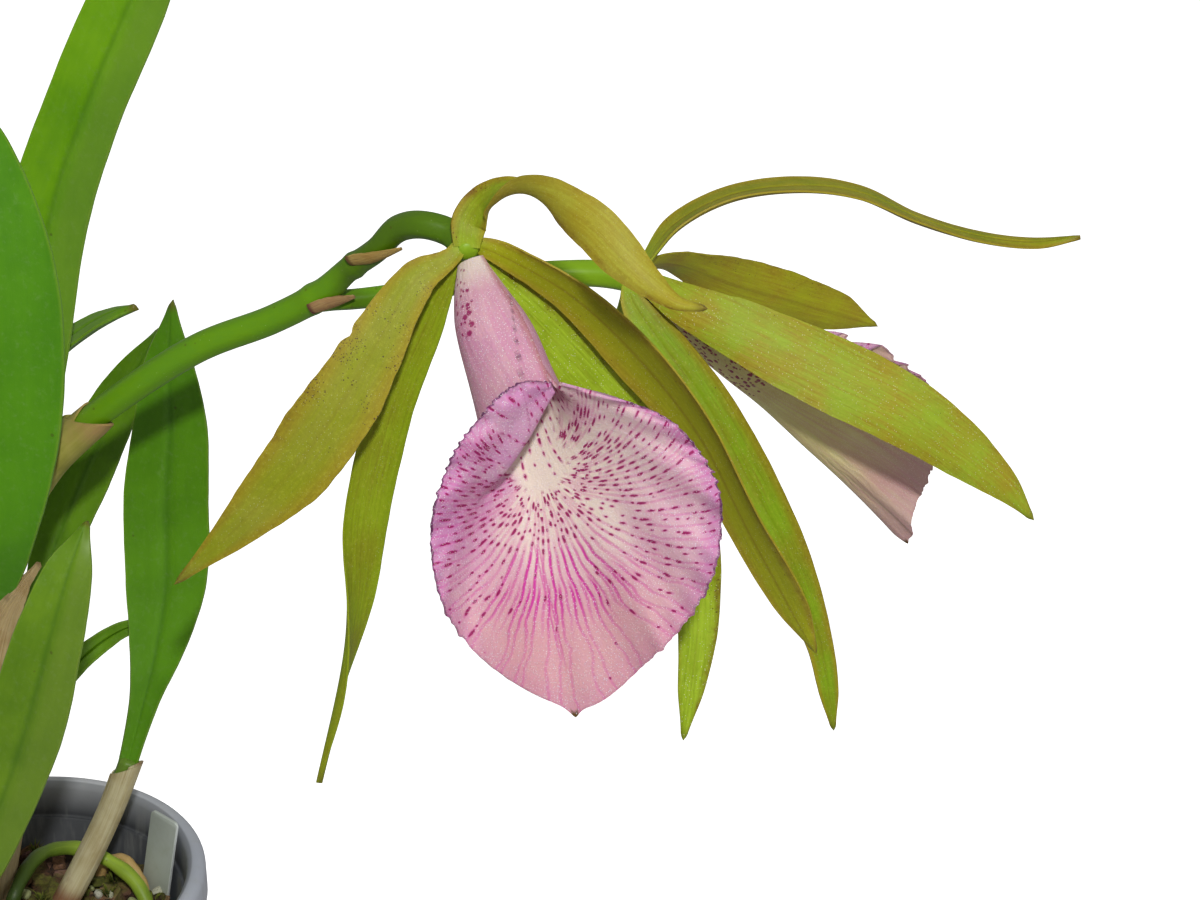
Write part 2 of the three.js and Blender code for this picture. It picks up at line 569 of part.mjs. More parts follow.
// Lip: its base is rolled into a tube round the column, the left side lapping over the
// right, and its end opens into a broad blade. Rings run from the left lap's edge, over
// the floor of the tube in the middle, to the right lap's edge.
const LIP_TUBE = [
  { centre: [1, -2.4, 0.5], radius: 2.1 },
  { centre: [2.6, -8, 2.2], radius: 4.3 },
  { centre: [5.4, -15, 3.4], radius: 6.1 },
];
const LIP_AXIS = new THREE.Vector3(0.34, -0.92, 0.2).normalize();
const LIP_LEFT_WRAP = 228; // degrees from the floor round to each lap's edge
const LIP_RIGHT_WRAP = 146;
const LIP_LAP = 0.6; // how far each lap stands in or out of the tube's round
const LIP_SWELL = [1.6, 2]; // how far each side bulges, a third and two thirds of the way out
const LIP_RUFFLES = 13; // half waves along the lip's margin
const LIP_LENGTH = 76;
const LIP_FLOOR = -2.5; // height of the tube's underside
const LIP_PRESSED = [22, 38]; // how far along a pressed tube starts and ends opening up
const LIP_TEETH_RATE = 34;
const LIP_MOUTH = [
  [14.2, -22.8, 12.4], [12.6, -25.8, 12.2], [10.2, -30, 11], [6.8, -34.6, 8], [3.8, -36.5, 3.6],
  [4, -35, -0.8], [7.8, -33, -3], [11.8, -31, -2.2], [15, -28.6, 0.4], [16.4, -26.4, 4],
  [16.6, -24.5, 7.2], [15.6, -23, 9.4], [14.4, -22, 10.8],
];
const LIP_MARGIN_1 = [
  [14.2, -22.2, 13.4], [8.8, -22.4, 17], [3.4, -27.2, 17], [-2.4, -35.8, 14], [-5, -49, 10],
  [0.2, -64, 2], [17.4, -75.8, -10], [30.8, -66.4, -3.5], [39.6, -54, 4], [40.8, -39.6, 10],
  [34, -29, 13], [24.6, -24.6, 13], [17.2, -22.6, 11.4],
];
const LIP_MARGIN_2 = [
  [14, -23.5, 12.2], [9, -25.5, 13.2], [3, -30.5, 12.5], [-2.4, -38, 11.5], [-5, -49, 9],
  [1, -63.5, 2], [17.4, -75.8, -10.6], [23, -67.8, -5.6], [31, -56.6, 1.4], [33, -42.6, 10.6],
  [29.6, -31, 13.2], [23.8, -26, 14], [17.4, -23.4, 12],
];

function ringPoint(ring, v) {
  return new THREE.Vector3(...[0, 1, 2].map((k) => along(ring.map((p) => p[k]), (v + 1) / 2)));
}

function tubePoint({ centre, radius }, v) {
  const floor = new THREE.Vector3(0, 0, -1).addScaledVector(LIP_AXIS, LIP_AXIS.z).normalize();
  const left = new THREE.Vector3().crossVectors(floor, LIP_AXIS).normalize();
  const wrap = v < 0 ? LIP_LEFT_WRAP : LIP_RIGHT_WRAP;
  const angle = -THREE.MathUtils.degToRad(wrap) * v;
  const reach = radius - LIP_LAP * v * Math.abs(v);
  const point = new THREE.Vector3(...centre);
  point.addScaledVector(floor, reach * Math.cos(angle));
  return point.addScaledVector(left, reach * Math.sin(angle));
}

// The height of a point of a lip whose tube is pressed flatter and whose keel sags under
// its straight line
function settled(y, z, { sag, press }) {
  const share = THREE.MathUtils.clamp(-y / LIP_LENGTH, 0, 1);
  const flat = 1 - press * (1 - THREE.MathUtils.smoothstep(-y, ...LIP_PRESSED));
  return LIP_FLOOR + (z - LIP_FLOOR) * flat - sag * Math.sin(Math.PI * share) * (1 - share);
}

function lipMiddle(u, v, lip) {
  const mouth = ringPoint(LIP_MOUTH, v);
  const margin = ringPoint(lip.rim, v);
  const third = mouth.clone().lerp(margin, 0.34);
  const twoThirds = mouth.clone().lerp(margin, 0.68);
  const sideways = Math.min(1, 2 * Math.abs(v));
  third.z += LIP_SWELL[0] * sideways;
  twoThirds.z += LIP_SWELL[1] * sideways;
  const rings = [...LIP_TUBE.map((ring) => tubePoint(ring, v)), mouth, third, twoThirds, margin];
  const point = new THREE.Vector3(...['x', 'y', 'z'].map((axis) => along(rings.map((p) => p[axis]), u)));
  const nearMargin = THREE.MathUtils.smoothstep(u, 0.62, 1);
  point.z += LIP_RUFFLE * nearMargin * Math.sin(LIP_RUFFLES * Math.PI * v);
  point.z = settled(point.y, point.z, lip);
  const atMargin = THREE.MathUtils.smoothstep(u, 0.93, 1);
  const teeth = LIP_TEETH * atMargin * Math.cos(LIP_TEETH_RATE * Math.PI * v);
  return point.addScaledVector(margin.clone().sub(mouth).normalize(), teeth);
}

function lipGeometry(lip, turn) {
  const step = 0.004;
  return sheet(LIP_ROWS, LIP_COLS, (u, t, cheek) => {
    const v = lip.side * (2 * t - 1);
    const middle = (across, along) => lipMiddle(
      THREE.MathUtils.clamp(u + across, 0, 1), THREE.MathUtils.clamp(v + along, -1, 1), lip);
    const du = middle(step, 0).sub(middle(-step, 0));
    const dv = middle(0, step).sub(middle(0, -step));
    const normal = new THREE.Vector3().crossVectors(du, dv).normalize();
    return middle(0, 0).addScaledVector(normal, (cheek * LIP_THICKNESS) / 2).applyMatrix4(turn);
  });
}

// Column: the short club inside the lip's tube
const COLUMN = [
  [0.95, -2.75, 0.75, 2.2], [1.6, -6, 2.2, 2.8], [2.6, -9.5, 3.4, 3.6], [3.6, -13, 4.2, 3.4],
];

// The way each lip hangs and faces, its side, 1 with the wide half on the right or -1 with
// it on the left, its margin, how far its keel sags, and by what share its tube is pressed
const LIPS = {
  1: { down: [0.22, -0.97, -0.09], face: [0, 0, 1], side: 1, rim: LIP_MARGIN_1, sag: 0, press: 0 },
  2: {
    down: [0.675, -0.56, -0.48], face: [0.52, 0.82, -0.23], side: -1, rim: LIP_MARGIN_2, sag: 4.6,
    press: 0.28,
  },
};

// The turn that makes bloom 1's lip hang and face another way
function lipTurn({ down, face, side }) {
  const basis = (downward, outward, mirror) => {
    const y = new THREE.Vector3(...downward).normalize().negate();
    const z = new THREE.Vector3(...outward);
    z.addScaledVector(y, -y.dot(z)).normalize();
    return new THREE.Matrix4().makeBasis(
      new THREE.Vector3().crossVectors(y, z).multiplyScalar(mirror), y, z);
  };
  return basis(down, face, side).multiply(basis(LIPS[1].down, LIPS[1].face, 1).transpose());
}

function addBloom(number, centre, tepals, lip) {
  const bloom = new THREE.Group();
  bloom.position.copy(centre);
  bloom.rotation.x = Math.PI / 2 - VIEW_TILT;
  orchid.add(bloom);
  for (const [name, stations] of Object.entries(tepals)) {
    const isPetal = name.startsWith('petal');
    const geometry = blade(stations, { rows: 13, wave: isPetal ? 0.5 : 0.25, waves: isPetal ? 5 : 3 });
    addPiece(bloom, `${name}_${number}`, geometry, TEPAL_SKIN);
  }
  const turn = lipTurn(lip);
  addPiece(bloom, `lip_${number}`, lipGeometry(lip, turn), LIP_SKIN);
  const club = COLUMN.map(([x, y, z, size]) => {
    const point = new THREE.Vector3(x, y, settled(y, z, lip)).applyMatrix4(turn);
    return [...point.toArray(), size * (1 - lip.press)];
  });
  addPiece(bloom, `column_${number}`, stem(club, { rows: 6 }), COLUMN_SKIN);
}

addBloom(1, BLOOM_1, TEPALS_1, LIPS[1]);
addBloom(2, BLOOM_2, TEPALS_2, LIPS[2]);

export default orchid;
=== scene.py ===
"""Potted brassocattleya orchid: the looks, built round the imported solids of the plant.

A piece follows the stations of the solid that it stands for. A few run a little past it:
eight of the ten tepals start nearer to the bloom's heart, the spathe's outer scale reaches
further up the stalk, and the bracts stand about a millimetre higher. Stations are in
millimetres in the plant's own frame, or in a bloom's own frame, and MM takes them to
Blender's metres. +Z is up and the blooms face -Y.
"""

import math

import bmesh
import bpy
import numpy as np
from bpy.props import FloatProperty, FloatVectorProperty, IntProperty, PointerProperty
from bpy.types import Operator, Panel, PropertyGroup
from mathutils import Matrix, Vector


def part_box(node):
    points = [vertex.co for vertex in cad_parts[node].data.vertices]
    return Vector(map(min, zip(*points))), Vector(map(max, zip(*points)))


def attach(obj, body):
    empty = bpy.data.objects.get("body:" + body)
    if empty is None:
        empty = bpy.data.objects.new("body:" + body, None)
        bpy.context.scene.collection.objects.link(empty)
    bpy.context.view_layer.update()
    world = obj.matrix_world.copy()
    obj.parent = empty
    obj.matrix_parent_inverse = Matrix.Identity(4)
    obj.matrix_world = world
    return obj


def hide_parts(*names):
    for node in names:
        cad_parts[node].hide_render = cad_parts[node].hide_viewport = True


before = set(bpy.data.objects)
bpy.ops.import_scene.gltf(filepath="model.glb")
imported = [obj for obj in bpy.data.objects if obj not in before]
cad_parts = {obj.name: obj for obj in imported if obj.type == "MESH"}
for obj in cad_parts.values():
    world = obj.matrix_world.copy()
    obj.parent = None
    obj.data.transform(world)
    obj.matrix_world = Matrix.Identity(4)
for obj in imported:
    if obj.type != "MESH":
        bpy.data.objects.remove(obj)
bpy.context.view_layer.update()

bl_info = {
    "name": "Potted Orchid",
    "version": (1, 0, 0),
    "blender": (4, 5, 0),
    "location": "View3D > Sidebar > Orchid",
    "description": "Builds a potted orchid in bloom, piece by piece, with its finishes",
    "category": "Add Mesh",
}

MM = 0.001
ROOT = "root"
VIEW_TILT = math.radians(24)  # how far down the viewer looks at the blooms
VIEWER = (0, -math.cos(VIEW_TILT), math.sin(VIEW_TILT))
TO_UPRIGHT = math.pi / 2 - VIEW_TILT  # turns a bloom's own frame into the plant's
BLOOM_PLACES = {1: (99, -41, 223), 2: (128, -12, 207)}

POT_LOW, POT_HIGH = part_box("pot")
POT_TOP = POT_HIGH.z / MM
POT_RIM_RADIUS = POT_HIGH.x / MM
POT_BASE_RADIUS = 28.5
POT_WALL = 1.7
POT_FLOOR = 2
LEDGE_HEIGHT = 65.5
COLLAR_INSET = 5.6
BARK_LEVEL = 57
BARK_CHIPS = 38
BARK_SEED = 7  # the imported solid's own, not the loose mix's
BED_GAP = 0.6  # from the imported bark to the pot's wall
CHIP_GAP = 0.5
CHIP_REACH = 31
SMALL_CHIP_REACH = 32.2
GRAIN_REACH = 31.5
TUFT_REACH = 31
TUFT_BLADES = 16
DRAIN_HOLES = 6
DRAIN_RADIUS = 2.6
DRAIN_CIRCLE = 19
GOLDEN_ANGLE = math.pi * (3 - math.sqrt(5))

BLADE_TIP = 0.012  # share of its length in which a blade comes to its point
NOTCH_WIDTH = 0.012  # the same for a notch in its edge
RIB_WIDTH = 0.11  # share of a blade's half width
PLEATS = 9  # across a blade's half width
DOMES = ((0.42, 0.2), (0.36, 0.55), (0.2, 0.88))  # a stem's end: how far out and how wide, in radii
SLEEVE_LAP = 0.22  # how far a sleeve's lapped edges stand apart, each way
BULB_WRAP = 1.3  # how much wider than its bulb a dry wrap is


# Stations: growths, stalk and roots

RHIZOME = [
    [[-27, 16, 58, 5], [-19, 11, 60.5, 6.5], [-10, 4, 61.5, 7], [-2, 1.5, 61.5, 7],
     [7, 2.5, 60.5, 6.5], [12, 4, 58.5, 4.5]],
    [[-9, 4, 61.5, 6], [-9, -4, 61.5, 6.5], [-14, -12, 60.5, 6], [-18, -16, 58, 4.5]],
]
BULBS = {
    "a": [[-9, -5, 62, 3.6], [-4, -8, 90, 4.6], [3, -11, 120, 5.4], [7.5, -13.5, 142, 7]],
    "b": [[-17, 9, 62, 3.6], [-11, 13, 90, 4.4], [-1, 18, 130, 5]],
    "c": [[-24, 14, 60, 3.4], [-17, 20, 90, 4], [-8, 25, 127, 4.4]],
    "d": [[8, 3, 61, 3.6], [14, 7, 72, 3.8], [20, 9.5, 84, 4], [24, 11, 94, 4.2]],
    "e": [[-4, 1.5, 62, 3.4], [0, 7, 82, 3.6], [3, 14, 105, 4], [4.5, 20, 122, 4.2]],
    "f": [[-14, -12, 61, 3.6], [-13, -19, 71, 4], [-11, -24, 80, 4.4]],
    "g": [[-9.5, 2, 62, 3.2], [-6, 2.5, 80, 3.4], [0, 5, 94, 3.6]],
}
LEAVES = {
    "a": [[7, -15, 140, 5, 0, 30], [8, -20, 158, 18.4, 0, 16], [11.4, -22, 180, 27, 0, 14],
          [13.6, -22, 200, 29, 0, 14], [14, -20, 217, 25, 0, 14], [12.5, -16, 233, 15, 0, 16],
          [10, -12, 245, 1.2, 0, 10]],
    "b": [[-1, 18, 129, 4, 0, 30], [3, 20, 149, 12, 0, 30], [9, 22, 176, 15.5, 0, 26],
          [17, 20, 209, 16, 0, 24], [26, 16, 230, 15, 0, 22], [38, 10, 253, 14.4, 0, 20],
          [47, 4, 269, 9.6, 0, 18], [53, -2, 282, 1.2, 0, 10]],
    "c": [[-8, 25, 126, 4, 0, 30], [-3, 31, 148, 7.5, 20, 30], [4, 32, 164, 8, 40, 30],
          [12, 30, 176, 7.5, 50, 30], [20, 27, 183, 6, 50, 24], [26, 24, 187, 4, 50, 20],
          [31.2, 22, 189.5, 1.2, 50, 10]],
    "d": [[23.6, 10.8, 93, 4, 0, 40], [27.8, 14, 107, 6.5, 0, 40], [30.7, 17, 118, 11.8, 0, 24],
          [33, 20, 131, 16.5, 0, 16], [34, 22, 148, 17.2, 0, 14], [36, 22, 164, 15, 0, 14],
          [37, 21, 178, 10, 0, 14], [39, 18, 192, 1.2, 0, 10]],
    "e": [[4.3, 20, 121, 4, 0, 30], [9, 25, 134, 9.5, 10, 20], [16, 29, 150, 12.5, 15, 16],
          [22, 31, 162, 11.5, 15, 16], [28, 31, 172, 8, 15, 16], [34, 30, 182, 1.2, 10, 10]],
    "f": [[-11, -24.5, 79, 4, 0, 30], [1.3, -30, 95, 11, 0, 24], [9.8, -34, 112, 12.8, 0, 22],
          [17.8, -37, 132, 14.4, 0, 22], [23.8, -38, 150, 12.6, 0, 22],
          [27.9, -36, 162, 8.6, 0, 20], [31, -33, 170, 1.2, 0, 10]],
    "g": [[-0.4, 4.8, 93, 3.2, 0, 40], [6, 10, 105, 5.5, 0, 50], [11, 15, 111, 5.5, 0, 60],
          [17.2, 21, 115.4, 4.8, 0, 60], [22.8, 27, 116.6, 3.2, 0, 50],
          [28.4, 30, 116.4, 1.2, 0, 10]],
}
STALK_MAIN = [
    [8, -11, 141, 4.6], [11.8, -11.6, 156, 5], [17.4, -12.4, 169, 5.2], [24, -13.8, 176.8, 5.1],
    [31, -15, 183.2, 5], [50, -19, 197, 5.1], [64, -22, 203.6, 5], [73, -25, 209.4, 4.9],
    [78.4, -28, 215, 4.2], [83.4, -31, 219.4, 4.2], [87.4, -33.6, 224, 4.5], [92, -37, 225.8, 4.6],
    [96.5, -38.4, 224.8, 4.7], [99, -41, 223, 4.8],
]
STALK_FORK = [
    [71, -24, 208, 3.4], [77, -23, 207.6, 3.6], [89, -18, 207.4, 3.8], [103, -12, 207.8, 4.2],
    [114, -9, 207.4, 4.7], [121.5, -9.4, 207.4, 4.9], [128, -12, 207, 4.8],
]
SHEATH_A = [
    [-4, -11.2, 90, 8.4, 0, 80], [3, -14.5, 120, 9, 0, 75], [5.6, -16.7, 133, 10, 0, 55],
    [9.6, -18.3, 143, 7.5, 0, 40], [14.8, -20, 150.6, 3, 0, 20], [18.6, -20.6, 155.6, 1.2, 0, 10],
]
SHEATH_D = [[9.5, 4, 64, 5.6], [14, 7, 72, 5.6], [20, 9.5, 84, 5.5], [24.4, 11.4, 95, 5.8]]
SPATHE = [
    [10.6, -11.4, 152, 6.4], [14.2, -12, 162.4, 7.6], [20.2, -13, 172.6, 9], [29.6, -14.8, 182, 8.8],
    [32.2, -15.4, 184.2, 7.8],
]
BRACTS = {
    1: [[71.6, -26.8, 206.7, 4.4, 0, 60], [75, -27.4, 208.1, 4.6, 0, 60],
        [79, -26.8, 209.6, 1.2, 0, 20]],
    2: [[79.4, -30.8, 216.8, 5, 0, 70], [83, -33, 218.2, 5, 0, 70], [88, -34.8, 221, 1.2, 0, 20]],
}
ROOTS = [
    [[-1, -1, 63, 3], [0.5, -1, 69, 3], [2.5, 6, 72, 3], [5, 12, 71.5, 3], [10, 16, 69.5, 3],
     [15.6, 16, 67, 3], [22.2, 13, 63.4, 3], [27, 8, 57, 2.8]],
    [[12, 20, 55, 2.2], [14.5, 20.8, 62, 2.2], [18.6, 19.2, 64.8, 2.2], [22.6, 16.2, 62.2, 2.2],
     [25.2, 12.2, 56, 2.2]],
    [[-13, -11, 62, 2.6], [-18, -14, 65, 2.6], [-24, -15, 62, 2.6], [-27, -14, 54, 2.4]],
    [[-26, 14, 60, 2.6], [-29, 8, 63.5, 2.6], [-30, 1, 61, 2.6], [-29, -4, 53, 2.4]],
    [[3, 1, 63, 2.6], [8, -6, 65, 2.6], [14, -13, 62, 2.6], [17, -17, 54, 2.4]],
]
LABEL = {"width": 8.6, "thickness": 1, "bottom": 46, "top": 76.5, "foot": (23.6, 13.8),
         "head": (29, 17.4), "turn": -42, "corner": 1.1, "bevel": 0.12}
LABEL_LEAN = 0.177  # how far towards +X the painted highlight along its edge runs for each unit up


# Stations: tepals and lip, in a bloom's own frame

TEPALS = {
    "dorsal_sepal_1": [
        [0.2, 0.3, 1.6, 4.4, 0, 25], [0.4, 2.3, 2.2, 5.4, 0, 25], [0.8, 4.2, 2.4, 6.2, 0, 35],
        [3, 6.9, 4, 6.4, 20, 40], [5.8, 8.1, 7.6, 6.4, 45, 30], [9.4, 8.3, 12, 6.8, 88, 20],
        [12.8, 7.2, 16, 7, 125, 15], [16.4, 5, 19, 7.2, 150, 15], [20.8, 1.5, 21.5, 7.6, 165, 15],
        [25, -3, 22.5, 7, 172, 15], [29.2, -6.9, 22.5, 4.8, 180, 20],
        [33.4, -10, 21.5, 2.4, 180, 20], [38.2, -10.9, 20, 1, 180, 10]],
    "petal_left_1": [
        [-0.7, 0.5, 1.4, 2.6, 0, 10], [-2.6, -1.6, 1.6, 3.4, 0, 10],
        [-7.9, -5.3, 3.1, 6.4, 0, 10], [-15.1, -17, 2.2, 10.2, 0, 8],
        [-22, -27.7, -0.3, 12.6, 0, 8], [-28.7, -36, -4, 12, 0, 10],
        [-36.6, -43.7, -8.5, 8, 0, 10], [-50.4, -55.4, -17, 1, 0, 5]],
    "petal_right_1": [
        [0.9, 0.8, 0, 2.6, -30, 20], [3.3, 0.4, -0.4, 3.4, -30, 20], [9, -2, -1, 6.2, -40, 30],
        [17.9, -7, -4, 9.6, -52, 30], [28.6, -16.6, -9.8, 12.4, -58, 30],
        [39.2, -29.7, -16, 12.6, -58, 30], [47.9, -46, -23, 11, -55, 25],
        [55.3, -59.4, -30, 7.4, -45, 15], [60.2, -68.6, -35, 1, -30, 5]],
    "lateral_sepal_left_1": [
        [-1, 0, -1.4, 3, 0, 20], [-2.6, -2.6, -2, 3.6, 0, 20], [-7.4, -12.6, -7.5, 6.4, 0, 30],
        [-13.4, -25.8, -14, 8, 5, 40], [-18.6, -43.8, -21, 8.4, 20, 45],
        [-21, -60.5, -27, 7.4, 60, 40], [-24.2, -76.6, -30.5, 5, 100, 30],
        [-28, -91.7, -34, 1, 110, 5]],
    "lateral_sepal_right_1": [
        [0.6, -0.2, -2.2, 3, 0, 20], [2, -2.3, -3, 3.8, 0, 20], [9.6, -9.8, -8.5, 8, 0, 25],
        [19.2, -19.4, -17, 9.8, 0, 25], [29.6, -31.4, -25, 10.4, 0, 20],
        [37.5, -46.7, -32.5, 9.8, 0, 15], [39.4, -63, -38.5, 7.6, 0, 12],
        [38.2, -76, -41.5, 4.8, 0, 10], [36.9, -85.2, -43.4, 1, 0, 5]],
    "dorsal_sepal_2": [
        [0.8, 3.2, -0.6, 3.6, 60, 30], [6.1, 9.6, 0, 7, 62, 30], [15.6, 14.8, -1.5, 8.6, 66, 25],
        [28.9, 17.1, -5.5, 8.6, 66, 20], [39.9, 16.2, -9.2, 7.8, 68, 15],
        [50.9, 12.1, -13.2, 6.6, 70, 15], [62.1, 9.1, -15.7, 5.2, 60, 15],
        [72.8, 8, -16.2, 3.6, 50, 15], [80.8, 9.1, -14.6, 1, 40, 5]],
    "petal_near_2": [
        [-1.2, 0.8, 1.2, 3, 180, 10], [0.9, -0.3, 1.9, 4, 180, 10], [7.9, -4.5, 5, 7.6, 180, 10],
        [19, -9.8, 7, 11, 180, 8], [32.9, -16.6, 7, 13.2, 180, 8], [46.2, -23.1, 5, 12.4, 180, 8],
        [57.3, -30.4, 0.7, 9.6, 180, 8], [65, -36.3, -3, 5.6, 180, 8],
        [70.6, -42.3, -6.8, 1, 180, 5]],
    "petal_far_2": [
        [-0.4, 1, -1.6, 2.8, 95, 10], [0.5, 2.5, -2.6, 3.6, 95, 10],
        [6.6, 4.7, -16, 7.6, 115, 12], [19, 1.8, -34, 11, 145, 12],
        [30.5, -0.3, -48, 11.2, 150, 12], [40.7, -2.2, -59, 8.4, 150, 10],
        [49.9, -4, -69.7, 1, 150, 5]],
    "lateral_sepal_near_2": [
        [-1.8, -0.6, 0.4, 3.2, 0, 20], [-1.7, -3.1, 0.9, 4, 0, 20], [2, -9, 0.6, 7.8, 0, 30],
        [10.3, -20, -1.5, 9.4, 0, 30], [18.9, -34.4, -5.6, 10, 0, 30],
        [27, -49.7, -11.2, 8.2, 0, 30], [33.2, -65.1, -18, 5.2, 0, 25],
        [35.4, -74.8, -22.3, 3.8, 0, 20], [36.7, -82.4, -25.8, 1, 0, 5]],
    "lateral_sepal_far_2": [
        [-2, -1.8, -2.8, 3, 0, 20], [-2.2, -10.5, -18, 7.4, 0, 30], [1.5, -22.5, -40, 9.2, 0, 30],
        [5, -34, -60, 9.2, 0, 30], [9, -44, -77, 6.4, 0, 20], [12, -52, -89, 1, 0, 5]],
}
LIP_TUBE = [((1, -2.4, 0.5), 2.1), ((2.6, -8, 2.2), 4.3), ((5.4, -15, 3.4), 6.1)]  # middle, radius
LIP_AXIS = (0.34, -0.92, 0.2)
LIP_LEFT_WRAP = 228  # degrees from the floor round to each lap's edge
LIP_RIGHT_WRAP = 146
LIP_LAP = 0.6
LIP_SWELL = (1.6, 2)
LIP_RUFFLES = 13
LIP_MOUTH = [
    [14.2, -22.8, 12.4], [12.6, -25.8, 12.2], [10.2, -30, 11], [6.8, -34.6, 8], [3.8, -36.5, 3.6],
    [4, -35, -0.8], [7.8, -33, -3], [11.8, -31, -2.2], [15, -28.6, 0.4], [16.4, -26.4, 4],
    [16.6, -24.5, 7.2], [15.6, -23, 9.4], [14.4, -22, 10.8],
]
LIP_LENGTH = 76
LIP_FLOOR = -2.5  # height of the tube's underside
LIP_THROAT = np.array((11.6, -34.5))  # where the rows of dashes spread from
LIP_KEEL = np.array((0.16, -0.987))  # the way from there to the lip's point
LIP_PRESSED = (22, 38)  # how far along a pressed tube starts and ends opening up
LIPS = {  # hang, face: the ways it hangs and faces; side: which side its wide half is on
    1: {"hang": (0.22, -0.97, -0.09), "face": (0, 0, 1), "side": 1, "sag": 0, "press": 0, "margin": [
        [14.2, -22.2, 13.4], [8.8, -22.4, 17], [3.4, -27.2, 17], [-2.4, -35.8, 14], [-5, -49, 10],
        [0.2, -64, 2], [17.4, -75.8, -10], [30.8, -66.4, -3.5], [39.6, -54, 4], [40.8, -39.6, 10],
        [34, -29, 13], [24.6, -24.6, 13], [17.2, -22.6, 11.4]]},
    2: {"hang": (0.675, -0.56, -0.48), "face": (0.52, 0.82, -0.23), "side": -1, "sag": 4.6,
        "press": 0.28, "margin": [
        [14, -23.5, 12.2], [9, -25.5, 13.2], [3, -30.5, 12.5], [-2.4, -38, 11.5], [-5, -49, 9],
        [1, -63.5, 2], [17.4, -75.8, -10.6], [23, -67.8, -5.6], [31, -56.6, 1.4], [33, -42.6, 10.6],
        [29.6, -31, 13.2], [23.8, -26, 14], [17.4, -23.4, 12]]},
}
LIP_SHEET = (0.55, 0.28)  # thickness at the lip's base and at its margin
COLUMN = [
    [0.95, -2.75, 0.75, 2.2], [1.6, -6, 2.2, 2.8], [2.6, -9.5, 3.4, 3.6], [3.6, -13, 4.2, 3.4],
]
COLUMN_CAP = [[3.4, -12.4, 4.5, 2.6], [3.9, -14, 4.9, 2.2]]
BLOOM_JOINT = [[-0.2, 1.2, -1.6, 4.4], [0, 0.6, 0, 4.4], [0.3, -0.4, 1.1, 3.6]]


# Curves

def unit(vectors):
    """Vectors of length one."""
    return vectors / np.linalg.norm(vectors, axis=-1, keepdims=True)


def smoothstep(values, low, high):
    """0 below low, 1 above high, and smooth between them."""
    share = np.clip((values - low) / (high - low), 0, 1)
    return share * share * (3 - 2 * share)


def evenly(values, t):
    """A smooth curve through evenly spaced values, read at t from 0 to 1."""
    values = np.asarray(values, float)
    last = len(values) - 1
    place = np.minimum(np.asarray(t, float) * last, last - 1e-9)
    index = np.floor(place).astype(int)
    before, start, end, after = (values[np.clip(index + n, 0, last)] for n in (-1, 0, 1, 2))
    f = place - index
    f = f.reshape(f.shape + (1,) * (values.ndim - 1))
    bend = 2 * before - 5 * start + 4 * end - after + f * (3 * (start - end) + after - before)
    return start + 0.5 * f * (end - before + f * bend)


def spline(points, t):
    """A centripetal curve through points, read at t from 0 to 1."""
    points = np.asarray(points, float)
    ends = 2 * points[[0, -1]] - points[[1, -2]]
    padded = np.vstack([ends[:1], points, ends[1:]])
    last = len(points) - 1
    place = np.clip(np.asarray(t, float), 0, 1) * last
    index = np.minimum(np.floor(place).astype(int), last - 1)
    f = (place - index)[:, None]
    p0, p1, p2, p3 = (padded[index + n] for n in range(4))
    spans = ((p0, p1), (p1, p2), (p2, p3))
    d0, d1, d2 = (np.sqrt(np.linalg.norm(b - a, axis=1))[:, None] for a, b in spans)
    out = ((p1 - p0) / d0 - (p2 - p0) / (d0 + d1) + (p2 - p1) / d1) * d1
    into = ((p2 - p1) / d1 - (p3 - p1) / (d1 + d2) + (p3 - p2) / d2) * d1
    square, cube = 3 * (p2 - p1) - 2 * out - into, 2 * (p1 - p2) + out + into
    return p1 + out * f + square * f**2 + cube * f**3


def directions(points, t):
    """Which way the curve through points runs at t."""
    step = 1e-4
    return unit(spline(points, t + step) - spline(points, t - step))


def distances(points):
    """How far along a line of points each of them lies."""
    steps = np.linalg.norm(np.diff(points, axis=0), axis=1)
    return np.concatenate([[0], np.cumsum(steps)])


def circle(steps):
    """Points evenly round a circle of radius one."""
    angle = 2 * np.pi * np.arange(steps) / steps
    return np.stack([np.cos(angle), np.sin(angle)], 1)


# Meshes

class Part:
    """Points in millimetres, the faces that join them, and what the finish reads at each point."""

    def __init__(self, points, faces, **fields):
        self.points = np.asarray(points, float).reshape(-1, 3)
        self.faces = [list(map(int, face)) for face in faces]
        count = len(self.points)
        self.fields = {key: np.broadcast_to(value, count).ravel() for key, value in fields.items()}

    def placed(self, turn=None, shift=(0, 0, 0)):
        """Turns the part about its own origin, or mirrors it, and moves it."""
        if turn is not None:
            self.points = self.points @ np.asarray(turn, float).T
            if np.linalg.det(turn) < 0:
                self.faces = [face[::-1] for face in self.faces]
        self.points = self.points + np.asarray(shift, float)
        return self


def in_bloom(part, bloom):
    """Takes a part from a bloom's own frame to the plant's."""
    cosine, sine = math.cos(TO_UPRIGHT), math.sin(TO_UPRIGHT)
    return part.placed([[1, 0, 0], [0, cosine, -sine], [0, sine, cosine]], BLOOM_PLACES[bloom])


def facing_out(points, faces):
    """The faces, turned over if they enclose the points inside out."""
    corners = [(face[0], face[i], face[i + 1]) for face in faces for i in range(1, len(face) - 1)]
    a, b, c = (points[index] for index in np.array(corners).T)
    outward = np.sum(a * np.cross(b, c)) > 0
    return faces if outward else [face[::-1] for face in faces]


def tube_faces(layers, sides):
    """Faces that join layers of as many points each, with a cap at both ends."""
    faces = []
    for i in range(layers - 1):
        for k in range(sides):
            a, b = i * sides + k, i * sides + (k + 1) % sides
            faces.append([a, b, b + sides, a + sides])
    return faces + [list(range(sides))[::-1], list(range((layers - 1) * sides, layers * sides))]


